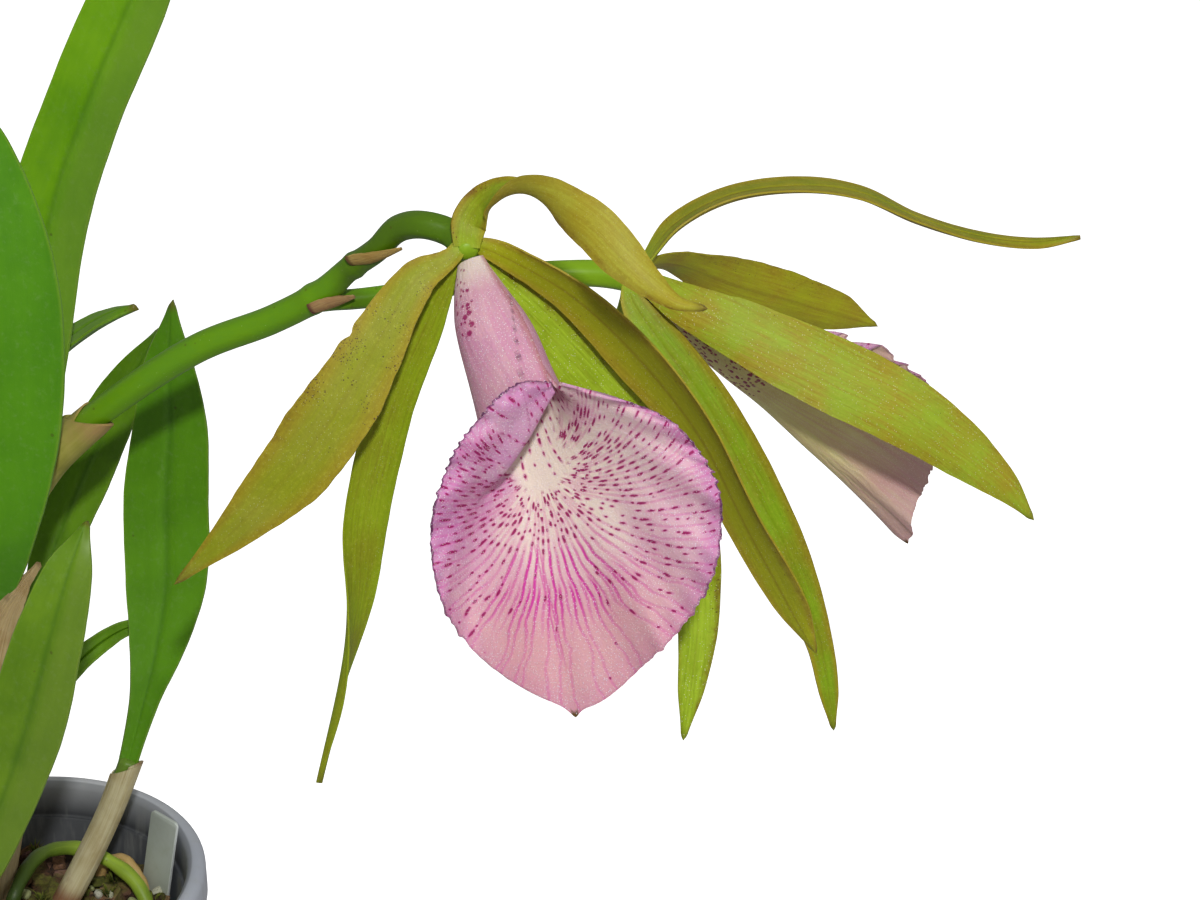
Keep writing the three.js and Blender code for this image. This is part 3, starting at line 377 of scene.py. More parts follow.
def sheet_faces(rows, cols):
    """Faces of a closed sheet: a front grid, a back grid and the rim between them."""
    count = (rows + 1) * (cols + 1)
    at = np.arange(count).reshape(rows + 1, cols + 1)
    front = np.stack([at[:-1, :-1], at[:-1, 1:], at[1:, 1:], at[1:, :-1]], -1).reshape(-1, 4)
    rim = np.concatenate([at[0, :-1], at[:-1, -1], at[-1, :0:-1], at[:0:-1, 0]])
    onward = np.roll(rim, -1)
    sides = np.stack([onward, rim, rim + count, onward + count], -1)
    return np.concatenate([front, front[:, ::-1] + count, sides])


def sheet(middle, out_of, thickness, **fields):
    """A closed sheet about a grid of middle points, as thick as given at each of them."""
    grid = middle.shape[:2]
    half = out_of * (np.broadcast_to(thickness, grid) / 2)[..., None]
    points = np.concatenate([(middle + half).reshape(-1, 3), (middle - half).reshape(-1, 3)])
    twice = {key: np.tile(np.broadcast_to(value, grid).ravel(), 2) for key, value in fields.items()}
    inner = np.repeat([1.0, 0.0], grid[0] * grid[1])
    faces = facing_out(points, sheet_faces(grid[0] - 1, grid[1] - 1).tolist())
    return Part(points, faces, inner=inner, **twice)


def blade(stations, rows=72, cols=20, spine=1.2, edge=0.32, facing=(0, 0, 1), wave=0.3, waves=3,
          groove=0.0, keel=0.0, teeth=0.0, pleats=0.0, notch=None, seed=0):
    """A leaf, petal or sepal along stations of x, y, z, width, roll and curl.

    groove sinks the midrib on the front, keel raises it on the back, teeth roughens the
    outline and pleats raises the veins, all in millimetres. notch is a place along, a
    side and a depth.
    """
    table = np.array(stations, float)
    t = np.linspace(0, 1, rows + 1)
    s = np.linspace(-1, 1, cols + 1)
    s = np.sign(s) * (1 - (1 - np.abs(s)) ** 1.25)
    forward = directions(table[:, :3], t)
    side = unit(np.cross(forward, np.array(facing, float)))
    inward = np.cross(side, forward)
    roll = np.radians(evenly(table[:, 4], t))[:, None]
    side, inward = (side * np.cos(roll) + inward * np.sin(roll),
                    inward * np.cos(roll) - side * np.sin(roll))
    curl = np.maximum(np.radians(evenly(table[:, 5], t)), 0.01)[:, None]
    rough = np.sin(t * 61 + seed) * 0.5 + np.sin(t * 143 + 2 * seed) * 0.3 + np.sin(t * 29 + 3 * seed)
    outline = np.stack([rough, np.roll(rough, rows // 3)], 1) * teeth * np.sin(np.pi * t)[:, None]
    if notch:
        place, edge_side, depth = notch
        outline[:, 0 if edge_side < 0 else 1] -= depth * np.exp(-((t - place) / NOTCH_WIDTH) ** 2)
    half_width = np.maximum(evenly(table[:, 3], t), 1)[:, None] / 2
    tip = np.sqrt(np.clip((1 - t) / BLADE_TIP, 0.05, 1))[:, None]
    reach = half_width * tip + np.where(s < 0, outline[:, :1], outline[:, 1:]) * np.abs(s) ** 6
    radius = reach / curl
    angle = curl * s
    envelope = np.sin(np.pi * t)[:, None]
    ripple = wave * s * np.abs(s) * np.sin(np.pi * waves * t)[:, None] * envelope
    pleat = pleats * np.cos(PLEATS * np.pi * s) * (1 - s * s) * envelope
    rise = radius * (1 - np.cos(angle)) + ripple + pleat
    spine_line = spline(table[:, :3], t)
    middle = spine_line[:, None] + side[:, None] * (radius * np.sin(angle))[..., None]
    middle = middle + inward[:, None] * rise[..., None]
    out_of = inward[:, None] * np.cos(angle)[..., None] - side[:, None] * np.sin(angle)[..., None]
    thickness = edge + (spine - edge) * (1 - s * s) ** 1.2 * np.ones_like(reach)
    part = sheet(middle, out_of, thickness, along=t[:, None], across=s[None, :],
                 run=distances(spine_line)[:, None], off=half_width * s)
    rib = (np.exp(-((s / RIB_WIDTH) ** 2)) * envelope).ravel()
    fold = out_of.reshape(-1, 3) * rib[:, None]
    half = len(part.points) // 2
    part.points[:half] -= fold * groove
    part.points[half:] -= fold * (groove + keel)
    return part


def ring_frames(stations, rings):
    """Evenly spaced rings along a stem: t, middle, direction, two axes across, and radius."""
    table = np.array(stations, float)
    fine = np.linspace(0, 1, 400)
    run = distances(spline(table[:, :3], fine))
    t = np.interp(np.linspace(0, run[-1], rings + 1), run, fine)
    centres, forward = spline(table[:, :3], t), directions(table[:, :3], t)
    across = np.zeros_like(forward)
    start = np.eye(3)[np.argmin(np.abs(forward[0]))]
    normal = unit(np.cross(forward[0], np.cross(start, forward[0])))
    for i, ahead in enumerate(forward):
        normal = unit(normal - ahead * np.dot(normal, ahead))
        across[i] = normal
    return t, centres, forward, across, np.cross(forward, across), evenly(table[:, 3], t) / 2


def stem(stations, rings=48, sides=24, flatten=1.0, ribs=0.0, rib_count=9, swell=None):
    """A root, bulb or stalk: round sections along x, y, z, diameter, with domed ends.

    ribs raises rib_count lengthwise ridges, and swell gives a share to widen by at each t.
    """
    t, centres, forward, across, other, radius = ring_frames(stations, rings)
    if swell is not None:
        radius = radius * (1 + swell(t))
    layers = [(0, -ahead, width) for ahead, width in DOMES]
    layers += [(i, 0, 1) for i in range(rings + 1)]
    layers += [(rings, ahead, width) for ahead, width in reversed(DOMES)]
    angle = 2 * np.pi * np.arange(sides) / sides
    points = []
    for i, ahead, width in layers:
        ridge = 1 + ribs / max(radius[i], 0.1) * np.cos(rib_count * angle)
        reach = (radius[i] * width * ridge)[:, None]
        ring = across[i] * np.cos(angle)[:, None] + other[i] * np.sin(angle)[:, None] * flatten
        points.append(centres[i] + forward[i] * ahead * radius[i] + ring * reach)
    points = np.concatenate(points)
    along = np.repeat([t[i] for i, _, _ in layers], sides)
    across = np.tile(angle / (2 * np.pi), len(layers))
    faces = facing_out(points, tube_faces(len(layers), sides))
    return Part(points, faces, along=along, across=across, inner=0.0)


def turned(profile, steps=96, **fields):
    """A profile of radius and height, turned round the pot's middle and closed at the axis."""
    ring = circle(steps)
    points = np.concatenate([np.column_stack([ring * radius, np.full(steps, height)])
                             for radius, height in np.array(profile, float)])
    return Part(points, facing_out(points, tube_faces(len(profile), steps)), **fields)


def dress(name, parts, material, nodes=(), crease=50):
    """Makes one object of the parts, which rides on the plant and stands for those solids."""
    points, faces, fields = [], [], {}
    keys = sorted(set().union(*(part.fields for part in parts)))
    start = 0
    for part in parts:
        points.append(part.points)
        faces += [[index + start for index in face] for face in part.faces]
        start += len(part.points)
    for key in keys:
        values = [part.fields.get(key, np.zeros(len(part.points))) for part in parts]
        fields[key] = np.concatenate(values)
    mesh = bpy.data.meshes.new(name)
    mesh.from_pydata((np.concatenate(points) * MM).tolist(), [], faces)
    for key, values in fields.items():
        mesh.attributes.new(key, "FLOAT", "POINT").data.foreach_set("value", values.astype(np.float32))
    mesh.shade_smooth()
    mesh.set_sharp_from_angle(angle=math.radians(crease))
    mesh.materials.append(material)
    piece = bpy.data.objects.new(name, mesh)
    bpy.context.scene.collection.objects.link(piece)
    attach(piece, ROOT)
    if nodes:
        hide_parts(*nodes)
    return piece


# Shader maths

class Value:
    """A number from a shader node, so that shader maths reads as an expression."""

    def __init__(self, shader, socket):
        self.shader = shader
        self.socket = socket

    def __add__(self, other):
        return self.shader.maths("ADD", self, other)

    def __sub__(self, other):
        return self.shader.maths("SUBTRACT", self, other)

    def __rsub__(self, other):
        return self.shader.maths("SUBTRACT", other, self)

    def __mul__(self, other):
        return self.shader.maths("MULTIPLY", self, other)

    def __truediv__(self, other):
        return self.shader.maths("DIVIDE", self, other)

    def __pow__(self, other):
        return self.shader.maths("POWER", self, other)

    def __abs__(self):
        return self.shader.maths("ABSOLUTE", self)

    def __lt__(self, other):
        return self.shader.maths("LESS_THAN", self, other)

    def __gt__(self, other):
        return self.shader.maths("GREATER_THAN", self, other)

    __radd__ = __add__
    __rmul__ = __mul__

    def floor(self):
        """The whole number below."""
        return self.shader.maths("FLOOR", self)

    def fract(self):
        """What is left above the whole number below."""
        return self.shader.maths("FRACT", self)

    def sine(self):
        """The sine of an angle in radians."""
        return self.shader.maths("SINE", self)

    def ramp(self, low, high):
        """0 below low, 1 above high, and smooth between; with high under low it falls instead."""
        settings = {"interpolation_type": "SMOOTHSTEP", "clamp": True}
        if high >= low:
            ends = {"From Min": low, "From Max": high, "To Min": 0.0, "To Max": 1.0}
        else:
            ends = {"From Min": high, "From Max": low, "To Min": 1.0, "To Max": 0.0}
        return self.shader.node("ShaderNodeMapRange", settings, {"Value": self, **ends})


class Shader:
    """One material, and the nodes that its finish is made of."""

    def __init__(self, name):
        self.material = bpy.data.materials.new(name)
        self.material.use_nodes = True
        self.tree = self.material.node_tree
        self.tree.nodes.clear()

    def feed(self, socket, value):
        """Links a value to a socket, or sets the socket's own number or colour."""
        if isinstance(value, Value):
            self.tree.links.new(value.socket, socket)
        elif socket.type == "RGBA" and len(value) == 3:
            socket.default_value = (*value, 1)
        else:
            socket.default_value = value

    def node(self, kind, settings=None, sockets=None, output=0):
        """Adds a node: its settings first, then its sockets. Returns one of its outputs."""
        made = self.tree.nodes.new(kind)
        for key, value in (settings or {}).items():
            if key == "stops":
                while len(made.color_ramp.elements) < len(value):
                    made.color_ramp.elements.new(0.5)
                for element, (position, colour) in zip(made.color_ramp.elements, value):
                    element.position = position
                    element.color = (*colour, 1)
            else:
                setattr(made, key, value)
        for key, value in (sockets or {}).items():
            self.feed(made.inputs[key], value)
        return None if output is None else Value(self, made.outputs[output])

    def maths(self, operation, *values):
        """A Math node on numbers or values."""
        return self.node("ShaderNodeMath", {"operation": operation}, dict(enumerate(values)))

    def vector(self, operation, *values, output=0):
        """A Vector Math node."""
        settings = {"operation": operation}
        return self.node("ShaderNodeVectorMath", settings, dict(enumerate(values)), output)

    def field(self, name):
        """What the mesh holds at each point under that name."""
        settings = {"attribute_type": "GEOMETRY", "attribute_name": name}
        return self.node("ShaderNodeAttribute", settings, output="Fac")

    def fields(self, *names):
        """What the mesh holds at each point under several names."""
        return [self.field(name) for name in names]

    def place(self):
        """The point's own place on the object, in millimetres."""
        here = self.node("ShaderNodeTexCoord", output="Object")
        return self.vector("MULTIPLY", here, (1 / MM,) * 3)

    def axis(self, where, name):
        """One of a place's three values: X, Y or Z."""
        return self.node("ShaderNodeSeparateXYZ", sockets={0: where}, output=name)

    def highest(self, first, second):
        """The higher of two numbers or values."""
        return self.maths("MAXIMUM", first, second)

    def point(self, x, y, z=0.0):
        """A vector of three values."""
        return self.node("ShaderNodeCombineXYZ", sockets={0: x, 1: y, 2: z})

    def noise(self, where, scale, detail=2.0, roughness=0.5):
        """Soft noise from 0 to 1."""
        sockets = {"Vector": where, "Scale": scale, "Detail": detail, "Roughness": roughness}
        return self.node("ShaderNodeTexNoise", sockets=sockets, output="Fac")

    def cells(self, where, scale, output="Distance"):
        """Round cells: how far the nearest one is, or its own random colour."""
        sockets = {"Vector": where, "Scale": scale}
        return self.node("ShaderNodeTexVoronoi", sockets=sockets, output=output)

    def random(self, value):
        """A random number for each whole value."""
        return self.node("ShaderNodeTexWhiteNoise", {"noise_dimensions": "1D"}, {"W": value}, "Value")

    def mix(self, share, first, second, blend="MIX"):
        """Two colours mixed."""
        settings = {"data_type": "RGBA", "blend_type": blend, "clamp_factor": True}
        return self.node("ShaderNodeMix", settings, {0: share, 6: first, 7: second}, output=2)

    def coats(self, colour, *coats):
        """A colour with others laid over it in turn, each given as a share and a colour."""
        for share, coat in coats:
            colour = self.mix(share, colour, coat)
        return colour

    def bump(self, height, depth, strength=1.0):
        """A normal from a height, depth in millimetres."""
        sockets = {"Height": height, "Distance": depth * MM, "Strength": strength}
        return self.node("ShaderNodeBump", sockets=sockets)

    def finish(self, colour, roughness, normal=None, **constants):
        """The surface itself. Constants are sockets of the same value all over."""
        sockets = {"Base Color": colour, "Roughness": roughness}
        if normal is not None:
            sockets["Normal"] = normal
        sockets.update({key.replace("_", " "): value for key, value in constants.items()})
        surface = self.node("ShaderNodeBsdfPrincipled", sockets=sockets, output="BSDF")
        self.node("ShaderNodeOutputMaterial", sockets={"Surface": surface}, output=None)
        return self.material


def paint(red, green, blue):
    """A colour, given as a screen shows it from 0 to 255, as Blender mixes it."""
    shares = (channel / 255 for channel in (red, green, blue))
    return tuple(s / 12.92 if s <= 0.04045 else ((s + 0.055) / 1.055) ** 2.4 for s in shares)


LIT = (0.09, -0.03, 0.19)  # what both lights point at, in metres
FILL_WAY = (0.75, -0.55, 0.35)
FILL_DISTANCE = 1.3
FILL_SIZE = 0.9
SENSOR_WIDTH = 36
FLOOR_PROFILE = [(2.4, 0), (2.75, 0.1), (2.95, 0.35), (3, 0.8), (3, 4)]  # radius and height, metres

CELL_MIX = (0.62, 0.23, 0.15)  # how a cell's random colour becomes its chance
VEIN_SHADE = (0.02, 0.03, 0.0)
TUBE_ROWS = 15  # rows of dashes round half of a lip's tube
LIVING = {"Subsurface_Weight": 0.12, "Subsurface_Radius": (0.5, 0.5, 0.2), "Subsurface_Scale": 0.002,
          "Specular_IOR_Level": 0.28}


# Lip

def settled(y, z, lip):
    """Heights over a lip's keel, once its tube is pressed flatter and its keel sags."""
    share = np.clip(-y / LIP_LENGTH, 0, 1)
    flat = 1 - lip["press"] * (1 - smoothstep(-y, *LIP_PRESSED))
    return LIP_FLOOR + (z - LIP_FLOOR) * flat - lip["sag"] * np.sin(np.pi * share) * (1 - share)


def lip_rings(v, margin):
    """The lip's rings from the tube's start out to its margin, read at the shares v across."""
    axis = unit(np.array(LIP_AXIS))
    floor = unit(np.array((0, 0, -1)) + axis * axis[2])
    left = unit(np.cross(floor, axis))
    angle = -np.radians(np.where(v < 0, LIP_LEFT_WRAP, LIP_RIGHT_WRAP)) * v
    rings = []
    for centre, radius in LIP_TUBE:
        reach = radius - LIP_LAP * v * np.abs(v)
        ring = floor * (reach * np.cos(angle))[:, None] + left * (reach * np.sin(angle))[:, None]
        rings.append(ring + np.array(centre))
    mouth, margin = (evenly(ring, (v + 1) / 2) for ring in (LIP_MOUTH, margin))
    rings.append(mouth)
    for share, swell in zip((0.34, 0.68), LIP_SWELL):
        ring = mouth + (margin - mouth) * share
        ring[:, 2] += swell * np.minimum(1, 2 * np.abs(v))
        rings.append(ring)
    return np.array(rings + [margin]), unit(margin - mouth)


def lip_part(lip, ruffle, teeth, rows=48, cols=560):
    """A waved, toothed lip, in its bloom's own frame."""
    u = 1 - (1 - np.linspace(0, 1, rows + 1)) ** 1.4
    v = np.linspace(-1, 1, cols + 1)
    rings, outward = lip_rings(v, lip["margin"])
    middle = evenly(rings, u)
    sideways = smoothstep(np.abs(v), 0.04, 0.22)
    broad = np.sin(LIP_RUFFLES * np.pi * v)
    frill = 0.45 * np.sin(71 * v + 1.5 * np.sin(9 * v)) + 0.3 * np.sin(131 * v + 2)
    middle[..., 2] += ruffle * (smoothstep(u, 0.62, 1)[:, None] * broad)
    middle[..., 2] += ruffle * (smoothstep(u, 0.84, 1)[:, None] * frill * sideways)
    middle[..., 2] = settled(middle[..., 1], middle[..., 2], lip)
    spikes = (1 - np.abs(np.sin(104 * v + 3 * np.sin(11 * v)))) ** 1.4
    spikes += 0.7 * (1 - np.abs(np.sin(171 * v + 2 * np.sin(17 * v)))) ** 1.6
    spikes = (spikes - 0.45) * (0.7 + 0.5 * np.sin(37 * v) * np.sin(13 * v + 1)) * sideways
    point = 3.2 * np.exp(-np.abs(v / 0.012) ** 1.5)
    edge = smoothstep(u, 0.92, 1)[:, None] * teeth * (spikes + point)
    middle += outward * edge[..., None]
    down, over = np.gradient(middle, u, axis=0), np.gradient(middle, v, axis=1)
    normal = unit(np.cross(down, over))
    steps = np.linalg.norm(np.diff(middle, axis=0), axis=2)
    run = np.vstack([np.zeros(cols + 1), np.cumsum(steps, axis=0)])
    base, margin = LIP_SHEET
    thickness = base - (base - margin) * smoothstep(u, 0.7, 1)[:, None]
    spread = np.linalg.norm(over, axis=2)
    out = middle[..., :2] - LIP_THROAT
    fan = np.arctan2(out @ np.array((-LIP_KEEL[1], LIP_KEEL[0])), out @ LIP_KEEL)
    part = sheet(middle, normal, thickness, along=u[:, None], across=v, run=run, spread=spread,
                 rim=run[-1] - run, fan=fan, reach=np.linalg.norm(out, axis=-1))
    return part.placed(lip_turn(lip))


def lip_basis(lip):
    """Axes for a lip that hangs one way and faces another, mirrored if its wide half is on the left."""
    y = -unit(np.array(lip["hang"], float))
    z = unit(np.array(lip["face"], float) - y * np.dot(y, lip["face"]))
    return np.column_stack([np.cross(y, z) * lip["side"], y, z])


def lip_turn(lip):
    """The turn from bloom 1's lip to this one."""
    return lip_basis(lip) @ lip_basis(LIPS[1]).T


# Sheaths

def sleeve(stations, wrap, mouth, turn=0.0, flatten=1.0, thickness=0.3, inset=0.3, rows=40, cols=72):
    """A sheath rolled round a stem: wrap degrees to each side, its edges lapped.

    mouth gives, for each angle round the stem, the share of its length where the sheath ends.
    """
    rings = 60
    _, centres, _, across, other, radius = ring_frames(stations, rings)
    share = np.linspace(-1, 1, cols + 1)
    angle = np.radians(wrap) * share + math.radians(turn)
    place = np.linspace(0, 1, rows + 1)[:, None] * mouth(share) * rings
    low = np.clip(np.floor(place).astype(int), 0, rings - 1)
    f = (place - low)[..., None]

    def read(values):
        return values[low] * (1 - f) + values[low + 1] * f

    reach = read(radius[:, None]) - inset + SLEEVE_LAP * share[None, :, None]
    first, second = read(across), read(other) * flatten
    cosine, sine = np.cos(angle)[None, :, None], np.sin(angle)[None, :, None]
    out_of = unit(first * cosine + second * sine)
    middle = read(centres) + (first * cosine + second * sine) * reach
    return sheet(middle, out_of, thickness, along=place / rings, across=share)


# Finishes

def grain(shader, along, across, fine=2.2):
    """Streaks that run the length of a leaf or petal, from 0 to 1."""
    return shader.noise(shader.point(along * 0.09, across * fine), 1, 4, 0.6)


def specks(shader, where, scale, size, share):
    """Round dark specks in a random share of cells, share from 0 to 1."""
    distance = shader.cells(where, scale)
    own_colour = shader.cells(where, scale, "Color")
    chance = shader.vector("DOT_PRODUCT", own_colour, CELL_MIX, output="Value")
    return distance.ramp(size, size * 0.6) * (chance < share)


def tepal_finish(name, flower, look):
    """A petal's or sepal's skin, from the colours and marks in its look."""
    shader = Shader(name)
    along, across, inner, run, off = shader.fields("along", "across", "inner", "run", "off")
    here = shader.place()
    flat = shader.point(run, off, inner * 9)
    patches = shader.noise(flat, 0.11, 3)
    streaks = grain(shader, run, off)
    sunny = (patches + (streaks - 0.5) * 0.7).ramp(0.3, 0.75)
    margin = abs(across).ramp(look.get("edge_from", 0.5), 1.0) * look.get("edge_share", 0.8)
    front = shader.mix(margin, shader.mix(sunny, look["heart"], look["flesh"]), look["edge"])
    back = shader.mix(sunny, look.get("back", look["flesh"]), look["edge"])

    mottle = shader.noise(flat, 0.42, 4, 0.65).ramp(0.45, 0.7)
    left, right = look.get("flush", (0.0, 0.0))
    flush = across.ramp(-0.35, -0.98) * left + across.ramp(0.35, 0.98) * right
    # crease: a darker brown line painted along the fold of the tepal, as painted shade in the crease.
    crease = abs(across - look.get("crease_at", 0.0)).ramp(0.12, 0.0) * look.get("crease", 0.12)
    low, high = look.get("zone", (0.0, 0.8))
    zone = along.ramp(low - 0.06, low + 0.06) * along.ramp(high + 0.08, high - 0.08)
    first, middle, last = look.get("specks", (0.1, 0.03, 0.1))
    density = across.ramp(-0.2, -0.9) * first + across.ramp(0.2, 0.9) * last + middle
    crowded = density * zone * shader.noise(flat, 0.2, 2).ramp(0.42, 0.62)
    large, small = specks(shader, flat, 1.5, 0.27, crowded), specks(shader, flat, 2.7, 0.3, crowded)
    dots = shader.highest(large, small)
    veins = (streaks - 0.5) * 0.5
    # Painted glints: tiny pale specks laid into the colour as painted highlights, also a little
    # smoother and raised.
    painted_glints = specks(shader, here, 3.2, 0.34, 0.3) * look.get("painted_glint_share", 0.35)
    painted_glints = painted_glints * (patches.ramp(0.35, 0.6) * 0.6 + 0.4)
    fleck = shader.noise(flat, 1.6, 4, 0.7)

    colour = shader.coats(
        shader.mix(inner * 0.9 + 0.1, back, front),
        (along.ramp(0.14, 0.0) * 0.7, flower.base_colour),
        (flush * (mottle * 0.7 + 0.3), flower.freckle_colour),
        (crease * along.ramp(0.02, 0.15), flower.freckle_colour),
        (dots * 0.85, look.get("speck_colour", flower.speck_colour)),
    )
    colour = shader.mix(veins.ramp(-0.2, 0.2) * 0.22, colour, VEIN_SHADE, "MULTIPLY")
    colour = shader.coats(
        colour,
        (along.ramp(0.955, 1.0) * look.get("tip", 0.5), flower.tip_colour),
        # the colour of the painted glints
        (painted_glints, paint(235, 240, 190)),
        (fleck.ramp(0.5, 0.78) * 0.35, paint(196, 194, 70)),
        (fleck.ramp(0.46, 0.24) * 0.3, paint(96, 92, 8)),
    )
    skin = shader.noise(here, 5, 3)
    height = grain(shader, run, off, 1.3) * look.get("ridges", 0.8) + skin * 0.25 + painted_glints * 0.3
    roughness = 0.5 - painted_glints * 0.25 + skin * 0.12
    return shader.finish(colour, roughness, shader.bump(height, 0.22, 0.7), **LIVING)


def dash_rows(shader, sideways, reach, row, pitch, seed):
    """Dashes along numbered rows: how dark each point is, how near to a dash, and two chances."""
    phase = shader.random(row * 1.7 + seed)
    drift = shader.noise(shader.point(reach * 0.3, row * 0.7, seed), 1, 1) - 0.5
    place = reach / pitch + phase * 13 + drift
    step = place.floor()
    chance = shader.random(row * 3.1 + step * 7.3 + seed)
    other = shader.random(row * 5.3 + step * 2.9 + seed)
    ahead = abs(place - step - 0.5 + (other - 0.5) * 0.45) * pitch
    width = other * 0.09 + 0.16
    length = other * other * 0.55 + 0.26
    shape = (sideways / width) ** 2 + (ahead / length) ** 2
    return shape.ramp(1.3, 0.5), shape.ramp(4.5, 1.0), chance, phase


def fan_rows(shader, fan, reach, rate, shift, seed):
    """Rows that spread from the throat: how far each point lies from its row, and its number."""
    bend = reach * 0.021 + 0.5
    warp = (shader.noise(shader.point(reach * 0.12, fan * 1.5, seed), 1, 2) - 0.5) * 1.5
    lane = fan / bend * rate + shift + warp
    row = lane.floor()
    return abs(lane - row - 0.5) * reach * bend / rate, row


def lip_finish(name, flower, look):
    """The lip's skin: a pale throat, lilac sides, rows of crimson dashes and a dark rim."""
    shader = Shader(name)
    along, across, inner, run = shader.fields("along", "across", "inner", "run")
    spread, rim, fan, reach = shader.fields("spread", "rim", "fan", "reach")
    here = shader.place()
    side = abs(across)
    flow = shader.noise(shader.point(across * 17, along * 3.2), 1, 4, 0.6)
    patches = shader.noise(here, 0.13, 3)
    uneven = (flow - 0.5) * 0.7 + (patches - 0.5) * 0.5

    throat_size = abs(fan - 0.6).ramp(2.2, 0.0) * 9 + 17
    away = (reach / throat_size + uneven * 0.9).ramp(0.35, 1.0)
    lap_side = across.ramp(-0.42, -0.56)
    left = shader.highest(fan.ramp(-0.5, -1.1) * fan.ramp(-2.5, -2.2), lap_side)
    left = left * shader.highest(reach.ramp(3.0, 7.0), lap_side) * 0.95
    band = rim.ramp(5.5, 0.8) * along.ramp(0.7, 0.8)
    lilac = shader.highest(left * (patches * 0.5 + 0.6), band * (flow * 0.5 + 0.5))
    apex = abs(fan).ramp(1.0, 0.3) * reach.ramp(13, 30)
    colour = shader.coats(
        shader.mix(away, flower.throat_colour, flower.blush_colour),
        (lilac * 0.92, flower.margin_colour),
        (apex * (0.55 + flow * 0.3), flower.apex_colour),
    )

    throat = shader.highest(abs(fan).ramp(2.3, 2.6), reach.ramp(5.0, 3.5))
    low = abs(fan).ramp(0.8, 0.2) * reach.ramp(12, 17)
    dash, halo, line = 0.0, 0.0, 0.0
    for rate, shift, pitch, start, seed, share in look["fans"]:
        sideways, row = fan_rows(shader, fan, reach, rate, shift, seed)
        dark, soft, chance, phase = dash_rows(shader, sideways, reach, row, pitch, seed)
        quiet = (1 - low * 0.85 - rim.ramp(1.6, 0.5) * 0.8) * (reach.ramp(4, 13) * 0.55 + 0.45)
        shown = (chance < (quiet * share)) * reach.ramp(start, start + 1.5) * (1 - throat)
        dash = shader.highest(dash, dark * shown)
        halo = shader.highest(halo, soft * shown)
        strand = sideways.ramp(0.42, 0.08) * reach.ramp(start, start + 4) * (1 - throat)
        strength = low * reach.ramp(32, 22) * 0.85 + (phase > 0.4) * 0.4
        line = shader.highest(line, strand * strength)
    drift = shader.noise(shader.point(run * 0.16, across * 7), 1, 1) - 0.5
    lane = across * TUBE_ROWS + drift * 0.6
    row = lane.floor()
    sideways = abs(lane - row - 0.5) * spread / TUBE_ROWS
    dark, soft, chance, phase = dash_rows(shader, sideways, run, row, 1.8, 9.0)
    shown = (chance < 0.85) * along.ramp(0.36, 0.44) * throat
    dash = shader.highest(dash, dark * shown)
    halo = shader.highest(halo, soft * shown)
    spine = abs((side * spread) - 0.35).ramp(0.3, 0.05) * along.ramp(0.62, 0.7) * along.ramp(0.93, 0.85)
    line = shader.highest(line, spine * (flow * 0.5 + 0.5))
    inside = shader.coats(
        colour,
        (shader.highest(line * 0.85, halo * 0.45), flower.vein_colour),
        (dash * 0.95, flower.dash_colour),
    )

    cloud = (patches * 0.6 + flow * 0.6).ramp(0.3, 0.85)
    strands = shader.noise(shader.point(across * 60, along * 2), 1, 2).ramp(0.5, 0.62)
    spots_to, spots_reach = look["spots_to"], look["spots_reach"]
    spotted = along.ramp(0.03, 0.08) * along.ramp(spots_to + 0.1, spots_to)
    spotted = spotted * abs(across - look["spots_at"]).ramp(spots_reach, spots_reach * 0.4)
    grid = shader.point(run, across * look["spots_rate"])
    spots = specks(shader, grid, 0.7, 0.42, spotted * 1.1)
    spots = shader.highest(spots, specks(shader, grid, 1.1, 0.36, spotted * 0.6))
    outside = shader.coats(
        shader.mix(cloud, look["outside"], look["outside_streaks"]),
        (along.ramp(look["blush_from"], 1.0) * look["blush"], flower.margin_colour),
        (strands * 0.16, flower.vein_colour),
        (along.ramp(0.2, 0.05) * 0.8, flower.throat_colour),
        (spots * 0.92, flower.dash_colour),
        # The lapped edges of the tube: partly their own pinkish-brown rim, partly painted shade in the
        # crease where they overlap.
        (side.ramp(0.93, 0.99) * (0.4 + flow * 0.6), flower.lap_rim_and_shade_colour),
    )

    ragged = shader.noise(here, 0.9, 3).ramp(0.3, 0.6)
    edge = rim.ramp(0.55, 0.2) * (ragged * 0.6 + 0.4) * (1 - apex * 0.8) * along.ramp(0.7, 0.8)
    point = (side * spread).ramp(1.2, 0.5) * rim.ramp(1.4, 0.5)
    # Painted glints: tiny white specks laid into the lip's colour as painted highlights, also smoother
    # and raised.
    painted_glints = specks(shader, here, 3.8, 0.36, 0.5) * look["painted_glint_share"]
    skin = shader.coats(
        shader.mix(inner, outside, inside),
        (edge * look["rim"], flower.rim_colour),
        (point, flower.tip_colour),
        (painted_glints * 0.95, (1.0, 0.96, 0.98)),
    )
    puckers = shader.noise(shader.point(across * 30, along * 9), 1, 3)
    height = puckers * 0.8 + shader.noise(here, 2.6, 3) * 0.5 + painted_glints * 0.3 - line * 0.25
    return shader.finish(skin, 0.62 - painted_glints * 0.3, shader.bump(height, 0.3, 0.8), **LIVING)


